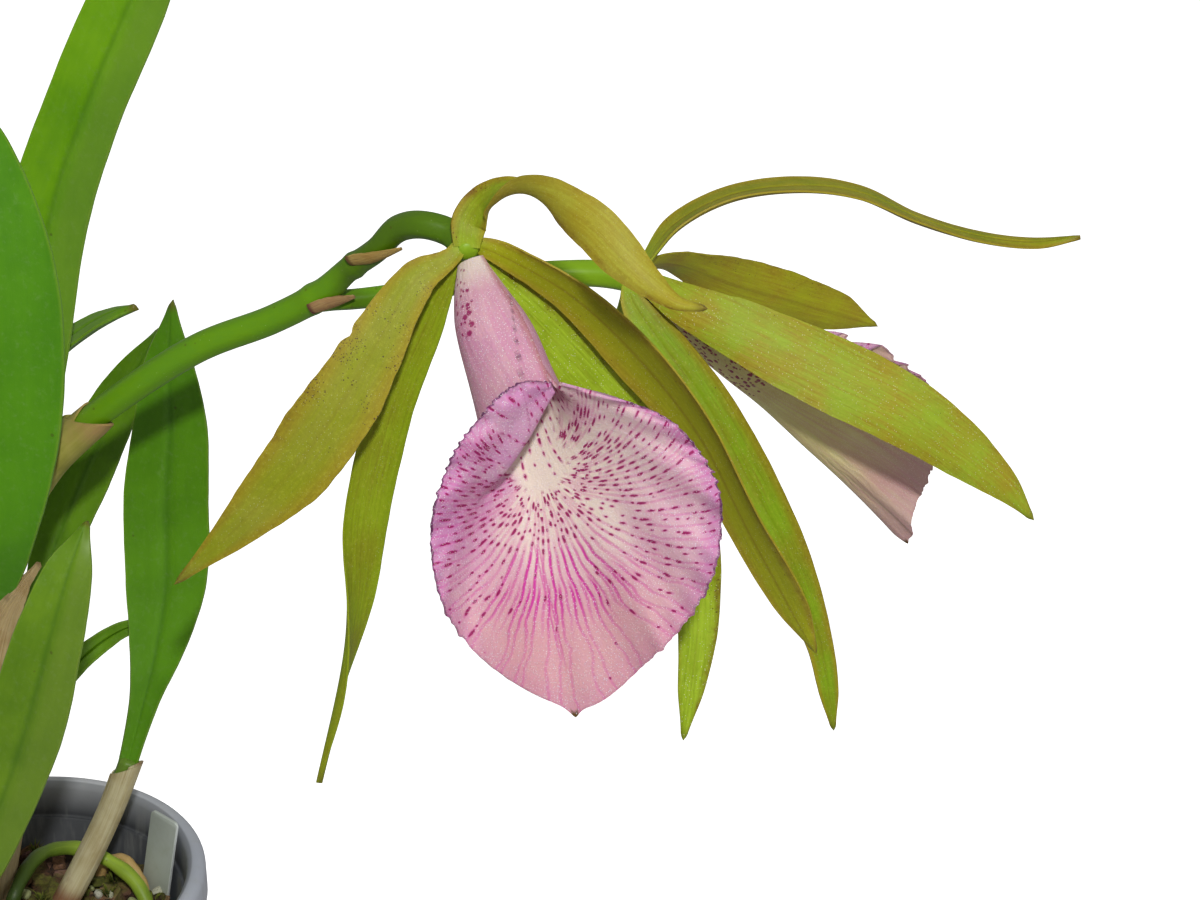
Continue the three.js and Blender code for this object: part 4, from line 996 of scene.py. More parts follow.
def leaf_finish(name, foliage, look):
    """A leaf's waxy skin, with a sunk midrib, fine length-wise veins and a paler back."""
    shader = Shader(name)
    along, across, inner, run, off = shader.fields("along", "across", "inner", "run", "off")
    here = shader.place()
    flat = shader.point(run, off, inner * 9)
    patches = shader.noise(flat, 0.07, 3)
    streaks = grain(shader, run, off, 0.7)
    mottle = shader.noise(flat, 0.3, 4, 0.6)
    fresh, deep = look["fresh"], look["deep"]
    sunny = (patches * 0.8 + streaks * 0.25 + mottle * 0.25).ramp(0.35, 0.9)
    # groove: the midrib painted darker along its sunk groove, as painted shade.
    groove = abs(across).ramp(0.13, 0.0) * along.ramp(0.04, 0.12)
    front = shader.coats(
        shader.mix(sunny, deep, fresh),
        (along.ramp(0.3, 0.0) * look.get("low", 0.5), deep),
        # half and painted_sheen_colour: one half of the leaf painted greyer, a painted sheen on that
        # half.
        (across.ramp(0.05, 0.4) * look.get("half", 0.0), look.get("painted_sheen_colour", deep)),
        (groove * 0.3, paint(40, 92, 8)),
        (abs(across).ramp(0.95, 1.0) * 0.25, paint(150, 170, 60)),
    )
    back = shader.mix(patches, foliage.back_colour, fresh)
    marks = specks(shader, flat, 0.22, 0.1, 0.35)
    tip = along.ramp(look.get("tip_from", 0.975), 1.0)
    dust = shader.noise(here, 0.9, 4, 0.7).ramp(0.5, 0.8)
    colour = shader.coats(
        shader.mix(inner, back, front),
        (marks * 0.5, paint(70, 60, 20)),
        (tip * look.get("tip", 0.6), paint(110, 85, 35)),
        (dust * 0.08, paint(190, 200, 160)),
    )
    height = streaks * 0.5 + shader.noise(here, 4, 2) * 0.2
    roughness = 0.4 + dust * 0.18 + patches * 0.1
    return shader.finish(colour, roughness, shader.bump(height, 0.1, 0.45), Coat_Weight=0.06,
                         Coat_Roughness=0.3, **LIVING)


def stem_finish(name, fresh, shaded, blush, low=0.0):
    """A bulb's, stalk's or root's skin: two greens in length-wise streaks, and a flushed foot."""
    shader = Shader(name)
    along, across = shader.fields("along", "across")
    here = shader.place()
    patches = shader.noise(here, 0.1, 3)
    round_it = shader.point(along * 2.4, (across * 2 * math.pi).sine() * 4, across * 3)
    streaks = shader.noise(round_it, 1, 4, 0.6)
    marks = specks(shader, here, 0.55, 0.16, 0.25)
    dust = shader.noise(here, 1.3, 4, 0.7).ramp(0.55, 0.85)
    colour = shader.coats(
        shader.mix((patches * 0.75 + streaks * 0.4).ramp(0.3, 0.8), shaded, fresh),
        (along.ramp(low, low * 0.2) if low else 0.0, blush),
        (marks * 0.45, paint(95, 70, 30)),
        (dust * 0.12, paint(205, 215, 160)),
    )
    height = streaks * 0.8 + shader.noise(here, 5, 2) * 0.3
    return shader.finish(colour, 0.4 + dust * 0.25, shader.bump(height, 0.12, 0.6), **LIVING)


def stalk_finish(foliage):
    """The flower stalk's skin: yellow-green, and darker between its two joints."""
    shader = Shader("stalk_skin")
    here = shader.place()
    x, y = shader.axis(here, "X"), shader.axis(here, "Y")
    patches = shader.noise(here, 0.12, 3)
    fibres = shader.noise(shader.vector("MULTIPLY", here, (0.25, 1.6, 1.6)), 1, 4, 0.6)
    upper = x.ramp(74, 79) * y.ramp(-21.5, -24.5)
    sunny = (patches * 0.7 + fibres * 0.5).ramp(0.3, 0.85)
    colour = shader.coats(
        shader.mix(sunny, paint(96, 148, 22), foliage.stalk_colour),
        (upper * 0.8, paint(74, 104, 8)),
        (x.ramp(98, 110), paint(128, 168, 24)),
        (x.ramp(34, 18) * 0.5, paint(140, 160, 60)),
        (specks(shader, here, 0.5, 0.15, 0.3) * 0.5, paint(80, 70, 20)),
        (specks(shader, here, 3.0, 0.3, 0.14) * 0.25, paint(220, 235, 160)),
    )
    height = fibres * 0.8 + shader.noise(here, 5, 2) * 0.3
    return shader.finish(colour, 0.38 + patches * 0.12, shader.bump(height, 0.12, 0.6), **LIVING)


def papery_finish(name, pale, tan, brown, brown_share=0.5):
    """Dry sheath: pale and tan fibres, brown at the foot and along torn edges."""
    shader = Shader(name)
    along, across = shader.fields("along", "across")
    here = shader.place()
    fibres = shader.noise(shader.point(along * 1.5, across * 13), 1, 5, 0.7)
    patches = shader.noise(here, 0.22, 3)
    stained = (patches + (fibres - 0.5) * 0.6).ramp(0.58, 0.8) * brown_share + along.ramp(0.18, 0.0)
    lines = shader.noise(shader.point(along * 0.8, across * 38), 1, 3, 0.6)
    colour = shader.coats(
        shader.mix((fibres * 0.8 + patches * 0.4).ramp(0.35, 0.8), tan, pale),
        (stained.ramp(0.0, 1.0) * 0.85, brown),
        (lines.ramp(0.55, 0.75) * 0.35, brown),
        (along.ramp(0.965, 1.0) * 0.5, brown),
    )
    height = fibres * 0.6 + lines * 0.6
    return shader.finish(colour, 0.72 + fibres * 0.15, shader.bump(height, 0.3, 0.8), **LIVING)


def spathe_finish():
    """The spathe: olive-yellow with pinkish-brown upper edges."""
    shader = Shader("spathe_skin")
    along, across = shader.fields("along", "across")
    here = shader.place()
    fibres = shader.noise(shader.point(along * 1.2, across * 11), 1, 4, 0.6)
    patches = shader.noise(here, 0.2, 3)
    sunny = (fibres * 0.6 + patches * 0.6).ramp(0.3, 0.85)
    ripe = (along + (patches - 0.5) * 0.3).ramp(0.8, 1.0)
    colour = shader.coats(
        shader.mix(sunny, paint(138, 134, 50), paint(176, 168, 84)),
        (ripe * 0.7, paint(176, 128, 98)),
        (fibres.ramp(0.6, 0.8) * 0.3, paint(120, 92, 48)),
    )
    height = fibres * 0.8 + shader.noise(here, 4, 2) * 0.2
    return shader.finish(colour, 0.55, shader.bump(height, 0.2, 0.7), **LIVING)


def bark_finish(pot):
    """Bark mix: browns that change from chip to chip, split grain, and a green film on top."""
    shader = Shader("bark")
    tone = shader.field("tone")
    here = shader.place()
    rough = shader.noise(here, 0.9, 6, 0.65)
    plates = shader.noise(shader.vector("MULTIPLY", here, (0.5, 1.7, 2.4)), 1, 5, 0.65)
    browns = {"stops": [(0.0, paint(44, 30, 20)), (0.3, paint(92, 62, 38)), (0.52, paint(128, 92, 60)),
                        (0.7, paint(150, 112, 92)), (0.86, paint(176, 128, 120)),
                        (1.0, paint(196, 176, 128))]}
    film = shader.noise(here, 0.16, 4).ramp(0.46, 0.62) * shader.axis(here, "Z").ramp(54, 59)
    film = film * (rough.ramp(0.3, 0.6) * 0.6 + 0.4)
    colour = shader.coats(
        shader.node("ShaderNodeValToRGB", browns, {"Fac": tone * 0.75 + (rough - 0.5) * 0.7}),
        (plates.ramp(0.5, 0.32) * 0.6, paint(38, 26, 18)),
        (film * 0.7, pot.moss_colour),
    )
    height = rough * 1.2 + plates
    return shader.finish(colour, 0.85 + rough * 0.1, shader.bump(height, 0.7, 0.9))


def grain_finish():
    """Pale pumice grains, with a greenish film on some."""
    shader = Shader("pumice_grains")
    here = shader.place()
    pits = shader.noise(here, 2.4, 4, 0.7)
    film = shader.field("tone").ramp(0.4, 0.9)
    colour = shader.mix(film, paint(206, 204, 184), paint(158, 168, 96))
    colour = shader.mix(pits.ramp(0.5, 0.35) * 0.5, colour, paint(120, 110, 80))
    return shader.finish(colour, 0.9, shader.bump(pits, 0.4, 0.9))


def moss_finish(pot):
    """Moss: bright tips on dark green stems."""
    shader = Shader("moss")
    along, tone = shader.fields("along", "tone")
    colour = shader.mix(along.ramp(0.1, 0.9), paint(40, 52, 14), pot.moss_colour)
    colour = shader.mix(tone * 0.5, colour, paint(150, 160, 60))
    here = shader.place()
    return shader.finish(colour, 0.7 + shader.noise(here, 3) * 0.2, **LIVING)


def pot_finish(pot):
    """Moulded grey plastic, scuffed outside; the inside painted dark as painted shade, and the right
    side painted bluish as a painted reflection.
    """
    shader = Shader("pot_plastic")
    inside = shader.field("tone")
    here = shader.place()
    x, z = shader.axis(here, "X"), shader.axis(here, "Z")
    clouds = shader.noise(here, 0.07, 3)
    dust = shader.noise(here, 0.5, 5, 0.7)
    runs = shader.vector("MULTIPLY", here, (0.35, 0.35, 0.04))
    drips = shader.noise(runs, 1, 4, 0.6).ramp(0.5, 0.75)
    grime = z.ramp(12, 0) * dust.ramp(0.35, 0.7)
    colour = shader.coats(
        shader.mix(clouds.ramp(0.3, 0.7) * 0.5, pot.pot_colour, paint(170, 174, 182)),
        # Painted reflection: the pot's right side tinted bluish.
        (x.ramp(10, 39) * 0.3, paint(156, 168, 192)),
        # Painted shade: the inside of the pot, and half of the collar's inner curve, darkened.
        (inside * 0.9, pot.inside_shade_colour),
        (drips * 0.22, paint(168, 168, 160)),
        (grime * 0.5, paint(90, 80, 62)),
    )
    rings = shader.vector("MULTIPLY", here, (0.3, 0.3, 5.0))
    scratches = shader.noise(rings, 1, 3, 0.5).ramp(0.6, 0.75)
    height = dust * 0.25 + scratches * 0.3
    roughness = 0.3 + dust * 0.22 + drips * 0.2
    return shader.finish(colour, roughness, shader.bump(height, 0.1, 0.5))


def label_finish(pot):
    """Bare satin plastic with a painted highlight along its +X edge, darker and browner towards its
    foot.
    """
    shader = Shader("label_plastic")
    here = shader.place()
    x, z = shader.axis(here, "X"), shader.axis(here, "Z")
    stains = shader.noise(here, 0.3, 4, 0.6)
    # Painted highlight: the tag whitened past a line along its +X edge.
    painted_edge_highlight = (x - z * LABEL_LEAN).ramp(18.2, 18.8)
    colour = shader.coats(
        shader.mix(stains.ramp(0.4, 0.75) * 0.4, pot.label_colour, paint(168, 176, 158)),
        # Darker and browner towards its foot.
        (z.ramp(68, 56) * 0.5, paint(120, 118, 92)),
        (painted_edge_highlight * 0.6, paint(236, 240, 240)),
    )
    grained = shader.noise(here, 6, 3)
    return shader.finish(colour, 0.42 + stains * 0.2, shader.bump(grained, 0.05, 0.5))


def floor_finish(stage):
    """A pale paper floor."""
    shader = Shader("studio_floor")
    here = shader.place()
    tooth = shader.noise(here, 0.4, 4, 0.6)
    colour = shader.mix(tooth * 0.06, stage.floor_colour, (0.8, 0.8, 0.8))
    return shader.finish(colour, 0.9, shader.bump(tooth, 0.1, 0.2), Emission_Color=(1, 1, 1, 1),
                         Emission_Strength=stage.floor_glow)


# Sizes and colours that a user would change

def colour_property(name, description, *screen):
    """A colour property, its default given as a screen shows it from 0 to 255."""
    return FloatVectorProperty(name=name, description=description, default=paint(*screen), size=3,
                               subtype="COLOR", min=0, max=1)


def length_property(name, description, millimetres, most=0.05):
    """A length property, its default given in millimetres."""
    return FloatProperty(name=name, description=description, default=millimetres * MM, min=0, max=most,
                         unit="LENGTH", precision=5)


def count_property(name, description, default):
    """A whole number, such as how many pieces there are."""
    return IntProperty(name=name, description=description, default=default, min=0)


def power_property(name, description, watts):
    """A light's power."""
    return FloatProperty(name=name, description=description, default=watts, min=0, unit="POWER")


def angle_property(name, description, degrees):
    """An angle, its default given in degrees."""
    return FloatProperty(name=name, description=description, default=math.radians(degrees),
                         subtype="ANGLE", unit="ROTATION")


class OrchidFlowerSettings(PropertyGroup):
    lip_ruffle: length_property("Lip ruffle", "Height of the waves along the lip's margin", 0.9)
    lip_teeth: length_property("Lip teeth", "Depth of the teeth along the lip's margin", 0.5)
    dash_pitch: length_property("Dash pitch", "Distance between two dashes in one row", 1.9)
    lime: colour_property("Lime", "Tepals at their brightest", 152, 180, 18)
    olive: colour_property("Olive", "Tepals over most of their length", 146, 154, 18)
    gold: colour_property("Gold", "Tepals along their edges", 172, 152, 30)
    base_colour: colour_property("Base", "Tepals where they meet the stalk", 160, 188, 40)
    freckle_colour: colour_property("Flush", "Brown flush along the tepals' edges", 122, 84, 22)
    speck_colour: colour_property("Specks", "Specks on the tepals", 84, 44, 22)
    tip_colour: colour_property("Tips", "Dried points of tepals and lips", 96, 70, 30)
    throat_colour: colour_property("Throat", "The lip's pale middle", 232, 218, 202)
    blush_colour: colour_property("Blush", "The lip between its middle and its margin", 220, 176, 190)
    margin_colour: colour_property("Margin", "The lip towards its margin", 196, 120, 178)
    apex_colour: colour_property("Apex", "The lip towards its point", 216, 158, 162)
    vein_colour: colour_property("Veins", "Veins of the lip", 206, 62, 158)
    dash_colour: colour_property("Dashes", "Rows of dashes on the lip", 150, 8, 88)
    rim_colour: colour_property("Rim", "The lip's thin dark rim", 84, 24, 76)
    # Partly the laps' own rim colour, partly painted shade where they overlap.
    lap_rim_and_shade_colour: colour_property("Laps", "The edges of the lip's rolled base", 170, 104, 100)
    column_colour: colour_property("Column", "The column inside the lip", 228, 228, 176)


class OrchidFoliageSettings(PropertyGroup):
    leaf_groove: length_property("Midrib", "Depth of the leaves' midrib groove", 0.55)
    leaf_colour: colour_property("Leaf", "The front leaf in full light", 86, 148, 6)
    back_colour: colour_property("Leaf back", "Backs of the leaves", 104, 144, 56)
    bulb_colour: colour_property("Bulb", "Pseudobulbs", 118, 150, 52)
    stalk_colour: colour_property("Stalk", "The flower stalk", 104, 152, 2)
    root_colour: colour_property("Root", "Growing roots", 158, 186, 60)


class OrchidPotSettings(PropertyGroup):
    pot_colour: colour_property("Pot", "Plastic of the pot", 196, 198, 200)
    # Painted shade inside the pot.
    inside_shade_colour: colour_property("Pot inside", "Inside of the pot", 26, 30, 36)
    label_colour: colour_property("Label", "Plastic of the plant tag", 190, 198, 190)
    moss_colour: colour_property("Moss", "Moss and the green film on the bark", 112, 122, 36)
    small_chips: count_property("Small chips", "Number of small loose chips", 170)
    grains: count_property("Grains", "Number of pumice grains", 90)
    moss_tufts: count_property("Moss tufts", "Number of moss tufts", 70)
    seed: count_property("Seed", "Seed of the loose mix", 7)


class OrchidStageSettings(PropertyGroup):
    camera_place: FloatVectorProperty(
        name="Camera", description="Where the camera stands", default=(0.1208, -0.4012, 0.3476),
        size=3, subtype="TRANSLATION", unit="LENGTH")
    focal_length: FloatProperty(
        name="Focal length", description="Focal length in millimetres", default=70, min=1)
    key_power: power_property("Key light", "Power of the key light", 2.5)
    key_size: length_property("Key size", "Width of the key light", 30, 5)
    key_height: angle_property("Key height", "How high the key light stands over the horizon", 34)
    key_bearing: angle_property("Key bearing", "How far to the right the key light stands", 8)
    key_distance: length_property("Key distance", "From the blooms to the key light", 600, 10)
    fill_power: power_property("Fill light", "Power of the fill light", 1.5)
    world_light: FloatProperty(
        name="Surroundings", description="Strength of the white surroundings", default=0.3, min=0)
    floor_colour: FloatVectorProperty(
        name="Floor", description="Colour of the floor", default=(0.9, 0.9, 0.9), size=3,
        subtype="COLOR", min=0, max=1)
    floor_glow: FloatProperty(
        name="Floor glow", description="Light that the pale floor gives off by itself",
        default=0.95, min=0)


# Looks of single pieces

def tepal_looks(flower):
    """The colours and marks of each petal and sepal."""
    lime, olive, gold = tuple(flower.lime), tuple(flower.olive), tuple(flower.gold)
    return {
        "dorsal_sepal_1": {
            "heart": paint(146, 170, 24), "flesh": olive, "edge": gold, "back": paint(172, 164, 50),
            "flush": (0.85, 0.3), "specks": (0.9, 0.05, 0.25), "zone": (0.0, 0.42), "tip": 0.8,
            "speck_colour": paint(110, 62, 16), "painted_glint_share": 0.12, "ridges": 0.4},
        "petal_left_1": {
            "heart": olive, "flesh": paint(156, 158, 44), "edge": gold, "edge_from": 0.35,
            "flush": (0.3, 0.5), "specks": (0.42, 0.36, 0.5), "zone": (0.12, 0.62),
            "speck_colour": paint(70, 28, 40), "painted_glint_share": 0.2},
        "petal_right_1": {
            "heart": paint(166, 170, 20), "flesh": paint(170, 172, 22), "edge": paint(178, 158, 40),
            "flush": (0.55, 0.25), "crease": 0.4, "crease_at": 0.1, "specks": (0.4, 0.06, 0.15),
            "painted_glint_share": 0.3},
        "lateral_sepal_left_1": {
            "heart": paint(150, 172, 16), "flesh": olive, "edge": lime, "edge_share": 0.5,
            "flush": (0.05, 0.3), "specks": (0.05, 0.02, 0.12), "painted_glint_share": 0.2, "ridges": 1.1},
        "lateral_sepal_right_1": {
            "heart": paint(172, 202, 44), "flesh": lime, "edge": olive, "edge_from": 0.7,
            "flush": (0.8, 0.1), "specks": (0.6, 0.02, 0.05), "zone": (0.0, 0.75), "painted_glint_share": 0.85,
            "ridges": 1.8, "speck_colour": paint(86, 40, 20)},
        "dorsal_sepal_2": {
            "heart": olive, "flesh": paint(172, 166, 30), "edge": gold, "back": paint(172, 164, 34),
            "flush": (0.2, 0.35), "crease": 0.5, "specks": (0.1, 0.02, 0.1), "painted_glint_share": 0.12},
        "petal_near_2": {
            "heart": lime, "flesh": paint(160, 176, 42), "edge": gold, "edge_from": 0.55,
            "back": paint(158, 182, 40), "flush": (0.25, 0.3), "specks": (0.06, 0.02, 0.06),
            "crease": 0.05, "painted_glint_share": 0.5, "ridges": 1.1},
        "petal_far_2": {
            "heart": paint(176, 182, 18), "flesh": paint(178, 182, 20), "edge": paint(180, 160, 26),
            "back": paint(182, 186, 20), "flush": (0.4, 0.4), "crease": 0.3,
            "specks": (0.2, 0.1, 0.3), "painted_glint_share": 0.1},
        "lateral_sepal_near_2": {
            "heart": paint(138, 172, 14), "flesh": olive, "edge": gold, "flush": (0.35, 0.0),
            "specks": (0.2, 0.02, 0.04), "painted_glint_share": 0.25},
        "lateral_sepal_far_2": {
            "heart": lime, "flesh": olive, "edge": olive, "specks": (0.06, 0.03, 0.06),
            "painted_glint_share": 0.2},
    }


TEPAL_SHAPES = {
    "dorsal_sepal_1": {"wave": 0.25, "teeth": 0.06, "seed": 1},
    "petal_left_1": {"wave": 0.5, "waves": 5, "teeth": 0.14, "seed": 2, "notch": (0.42, 1, 0.7)},
    "petal_right_1": {"wave": 0.5, "waves": 5, "teeth": 0.08, "seed": 3, "keel": 0.3},
    "lateral_sepal_left_1": {"wave": 0.25, "teeth": 0.06, "seed": 4},
    "lateral_sepal_right_1": {"wave": 0.25, "teeth": 0.06, "seed": 5, "pleats": 0.12},
    "dorsal_sepal_2": {"wave": 0.25, "teeth": 0.05, "seed": 6, "groove": 0.3},
    "petal_near_2": {"wave": 0.5, "waves": 5, "teeth": 0.08, "seed": 7},
    "petal_far_2": {"wave": 0.5, "waves": 5, "teeth": 0.1, "seed": 8},
    "lateral_sepal_near_2": {"wave": 0.25, "teeth": 0.05, "seed": 9, "groove": 0.3},
    "lateral_sepal_far_2": {"wave": 0.25, "teeth": 0.05, "seed": 10},
}


def leaf_looks(foliage):
    """The greens of each leaf."""
    return {
        "a": {"fresh": tuple(foliage.leaf_colour), "deep": paint(70, 130, 6)},
        # half: how strongly the painted sheen greys one half of the leaf.
        "b": {"fresh": paint(122, 176, 16), "deep": paint(96, 152, 8), "half": 0.5,
              "painted_sheen_colour": paint(110, 148, 44)},
        "c": {"fresh": paint(120, 168, 30), "deep": paint(96, 144, 18), "tip_from": 0.93, "tip": 0.8},
        "d": {"fresh": paint(92, 148, 12), "deep": paint(76, 128, 8), "low": 0.3},
        "e": {"fresh": paint(104, 148, 20), "deep": paint(76, 116, 12)},
        "f": {"fresh": paint(112, 150, 22), "deep": paint(86, 126, 12), "half": 0.35,
              "painted_sheen_colour": paint(118, 142, 52)},
        "g": {"fresh": paint(104, 150, 14), "deep": paint(72, 116, 10), "tip_from": 0.9, "tip": 0.7},
    }


def lip_looks(flower):
    """How the two lips differ."""
    pitch = flower.dash_pitch / MM
    fans = [(11.5, 0.0, pitch, 4.5, 1.0, 0.84), (11.5, 0.5, pitch * 1.1, 19.0, 2.0, 0.3)]
    return {
        1: {"fans": fans, "outside": paint(214, 168, 178), "outside_streaks": paint(200, 138, 166),
            "blush_from": 0.5, "blush": 0.3, "spots_at": -0.55, "spots_reach": 0.25, "spots_to": 0.27,
            "spots_rate": 20, "rim": 0.9, "painted_glint_share": 0.75},
        2: {"fans": fans, "outside": paint(240, 232, 160), "outside_streaks": paint(224, 202, 144),
            "blush_from": 0.62, "blush": 0.55, "spots_at": 0.0, "spots_reach": 0.9, "spots_to": 0.42,
            "spots_rate": 24, "rim": 0.5, "painted_glint_share": 0.35},
    }


# Operators

class Maker:
    """What the operators below share."""
    bl_options = {"REGISTER", "UNDO"}

    def execute(self, context):
        """Makes the pieces, or raises an error that stops the script."""
        self.make(context.scene)
        return {"FINISHED"}


def cut_holes(piece, places, radius, depth):
    """Cuts round upright holes, in millimetres, through a piece's floor."""
    drill = bmesh.new()
    for x, y in places:
        rod = bmesh.ops.create_cone(drill, cap_ends=True, segments=32, radius1=radius * MM,
                                    radius2=radius * MM, depth=depth * MM)
        bmesh.ops.translate(drill, verts=rod["verts"], vec=(x * MM, y * MM, 0))
    mesh = bpy.data.meshes.new("drill")
    drill.to_mesh(mesh)
    drill.free()
    cutter = bpy.data.objects.new("drill", mesh)
    bpy.context.scene.collection.objects.link(cutter)
    boolean = piece.modifiers.new("holes", "BOOLEAN")
    boolean.operation = "DIFFERENCE"
    boolean.solver = "EXACT"
    boolean.object = cutter
    shape = bpy.data.meshes.new_from_object(piece.evaluated_get(bpy.context.evaluated_depsgraph_get()))
    piece.modifiers.clear()
    piece.data = shape
    bpy.data.objects.remove(cutter)


def inside_radius(z):
    """The pot's inside radius at a height under the ledge."""
    base, top = POT_BASE_RADIUS - POT_WALL, POT_RIM_RADIUS - COLLAR_INSET
    return base + (top - base) * (z - POT_FLOOR) / (LEDGE_HEIGHT - POT_FLOOR)


def held_in(part):
    """Pulls in a chip's points that would come through the pot's wall."""
    out = np.hypot(part.points[:, 0], part.points[:, 1])
    limit = inside_radius(np.minimum(part.points[:, 2], LEDGE_HEIGHT)) - CHIP_GAP
    part.points[:, :2] *= np.minimum(1, limit / np.maximum(out, 0.01))[:, None]
    return part


def arc(middle, radius, start, end, steps=8):
    """Points of radius and height round a corner, angles in degrees."""
    angles = [math.radians(start + (end - start) * i / steps) for i in range(steps + 1)]
    return [(middle[0] + radius * math.cos(a), middle[1] + radius * math.sin(a)) for a in angles]


class ORCHID_OT_pot(Maker, Operator):
    """Makes the round plastic pot with its rolled collar, inner step and drain holes"""
    bl_idname = "orchid.pot"
    bl_label = "Pot"

    def make(self, scene):
        rim, top = POT_RIM_RADIUS, POT_TOP
        ledge = inside_radius(LEDGE_HEIGHT)
        foot, corner, roll = 0.8, 0.5, 1.95  # radii of the rounded edges
        outside = [(0, 0), *arc((POT_BASE_RADIUS - foot, foot), foot, -90, 0, 4)]
        outside += [(ledge + POT_WALL, LEDGE_HEIGHT - 1), (rim - 1, LEDGE_HEIGHT)]
        outside += arc((rim - corner, LEDGE_HEIGHT + 0.6), corner, -90, 0, 4)
        collar = arc((rim - roll, top - roll), roll, 0, 180, 18)
        inside = [(rim - 4.6, LEDGE_HEIGHT + 0.8)]
        inside += arc((rim - 5.1, LEDGE_HEIGHT + corner), corner, 0, -90, 4)
        inside += [(ledge + 0.3, LEDGE_HEIGHT), (ledge, LEDGE_HEIGHT - 0.3)]
        inside += [(inside_radius(POT_FLOOR + 0.6), POT_FLOOR + 0.6)]
        inside += [(inside_radius(POT_FLOOR) - 0.6, POT_FLOOR), (0, POT_FLOOR)]
        # tone for the finish: 0 outside, 0.5 on the collar's inner curve and 1 inside, where painted
        # shade darkens the plastic.
        dark = [0.0] * (len(outside) + 12) + [0.5] * 7 + [1.0] * len(inside)
        steps = 128
        part = turned(outside + collar + inside, steps, tone=np.repeat(dark, steps))
        piece = dress("pot_shell", [part], pot_finish(scene.orchid_pot), ["pot"], 40)
        cut_holes(piece, circle(DRAIN_HOLES) * DRAIN_CIRCLE, DRAIN_RADIUS, 4 * POT_FLOOR)


class ORCHID_OT_label(Maker, Operator):
    """Makes the bare plant tag, pushed into the bark beside the wall"""
    bl_idname = "orchid.label"
    bl_label = "Plant tag"

    def make(self, scene):
        width, depth = LABEL["width"] / 2, LABEL["thickness"] * 0.35
        low, high = LABEL["bottom"], LABEL["top"]
        round_off = LABEL["corner"]
        outline = [(-width * 0.35, low), (width * 0.35, low), (width, low + 6)]
        outline += arc((width - round_off, high - round_off), round_off, 0, 90, 6)
        outline += arc((round_off - width, high - round_off), round_off, 90, 180, 6)
        outline += [(-width, low + 6)]
        points = []
        bevel = LABEL["bevel"]
        middle = (low + high) / 2
        worn = 1 - bevel / width
        layers = [(-depth, worn), (-depth + bevel, 1), (depth - bevel, 1), (depth, worn)]
        for offset, share in layers:
            for x, z in outline:
                points.append([x * share, offset, middle + (z - middle) * (1 - (1 - share) * 0.2)])
        points = np.array(points)
        turn = math.radians(LABEL["turn"])
        x, y = points[:, 0].copy(), points[:, 1].copy()
        up = (points[:, 2] - low) / (high - low)
        turned_to = (x * math.cos(turn) - y * math.sin(turn), x * math.sin(turn) + y * math.cos(turn))
        for k, (values, foot, head) in enumerate(zip(turned_to, LABEL["foot"], LABEL["head"])):
            points[:, k] = values + foot + (head - foot) * up
        faces = facing_out(points, tube_faces(len(layers), len(outline)))
        skin = label_finish(scene.orchid_pot)
        dress("plant_tag", [Part(points, faces)], skin, ["plant_label"], 40)


def taken_from(solid):
    """The points and faces of a mesh being edited, which is then let go."""
    solid.verts.index_update()
    points = np.array([v.co[:] for v in solid.verts])
    faces = [[v.index for v in f.verts] for f in solid.faces]
    solid.free()
    return points, faces


def scattered(rng, reach):
    """A random place within reach of the pot's middle."""
    out, angle = reach * math.sqrt(rng.random()), 2 * math.pi * rng.random()
    return out * math.cos(angle), out * math.sin(angle)


def chip_part(rng, size, tone):
    """One rough chip of bark, as a split block with worn corners."""
    block = bmesh.new()
    bmesh.ops.create_cube(block, size=1)
    bmesh.ops.bevel(block, geom=block.edges[:], offset=0.12, segments=1, affect="EDGES")
    bmesh.ops.triangulate(block, faces=[f for f in block.faces if len(f.verts) > 4])
    bmesh.ops.subdivide_edges(block, edges=block.edges[:], cuts=1, use_grid_fill=True)
    points, faces = taken_from(block)
    points = points * (1 + 0.16 * (rng.random((len(points), 1)) - 0.5))
    points[:, 2] += 0.25 * (rng.random() - 0.5) * points[:, 0]
    points[:, 1] *= 1 + 0.5 * (rng.random() - 0.5) * points[:, 0]
    return Part(points * np.array(size), facing_out(points, faces), tone=tone)


def turn_xyz(x, y, z):
    """A turn about X, then Y, then Z, in radians."""
    about = []
    for axis, angle in enumerate((x, y, z)):
        c, s = math.cos(angle), math.sin(angle)
        turn = np.eye(3)
        i, k = [(1, 2), (2, 0), (0, 1)][axis]
        turn[i, i] = turn[k, k] = c
        turn[i, k], turn[k, i] = -s, s
        about.append(turn)
    return about[2] @ about[1] @ about[0]


def same_draws(seed):
    """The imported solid's own run of random numbers, so that its chips lie in the same places."""
    state = seed
    while True:
        state = (state * 1664525 + 1013904223) % 4294967296
        yield state / 4294967296


def bark_top(x, y):
    """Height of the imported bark's uneven top."""
    swell = np.sin(x * 0.31 + 1) * np.cos(y * 0.27) + 0.6 * np.sin(x * 0.83 + y * 0.71)
    return BARK_LEVEL + 0.5 * swell


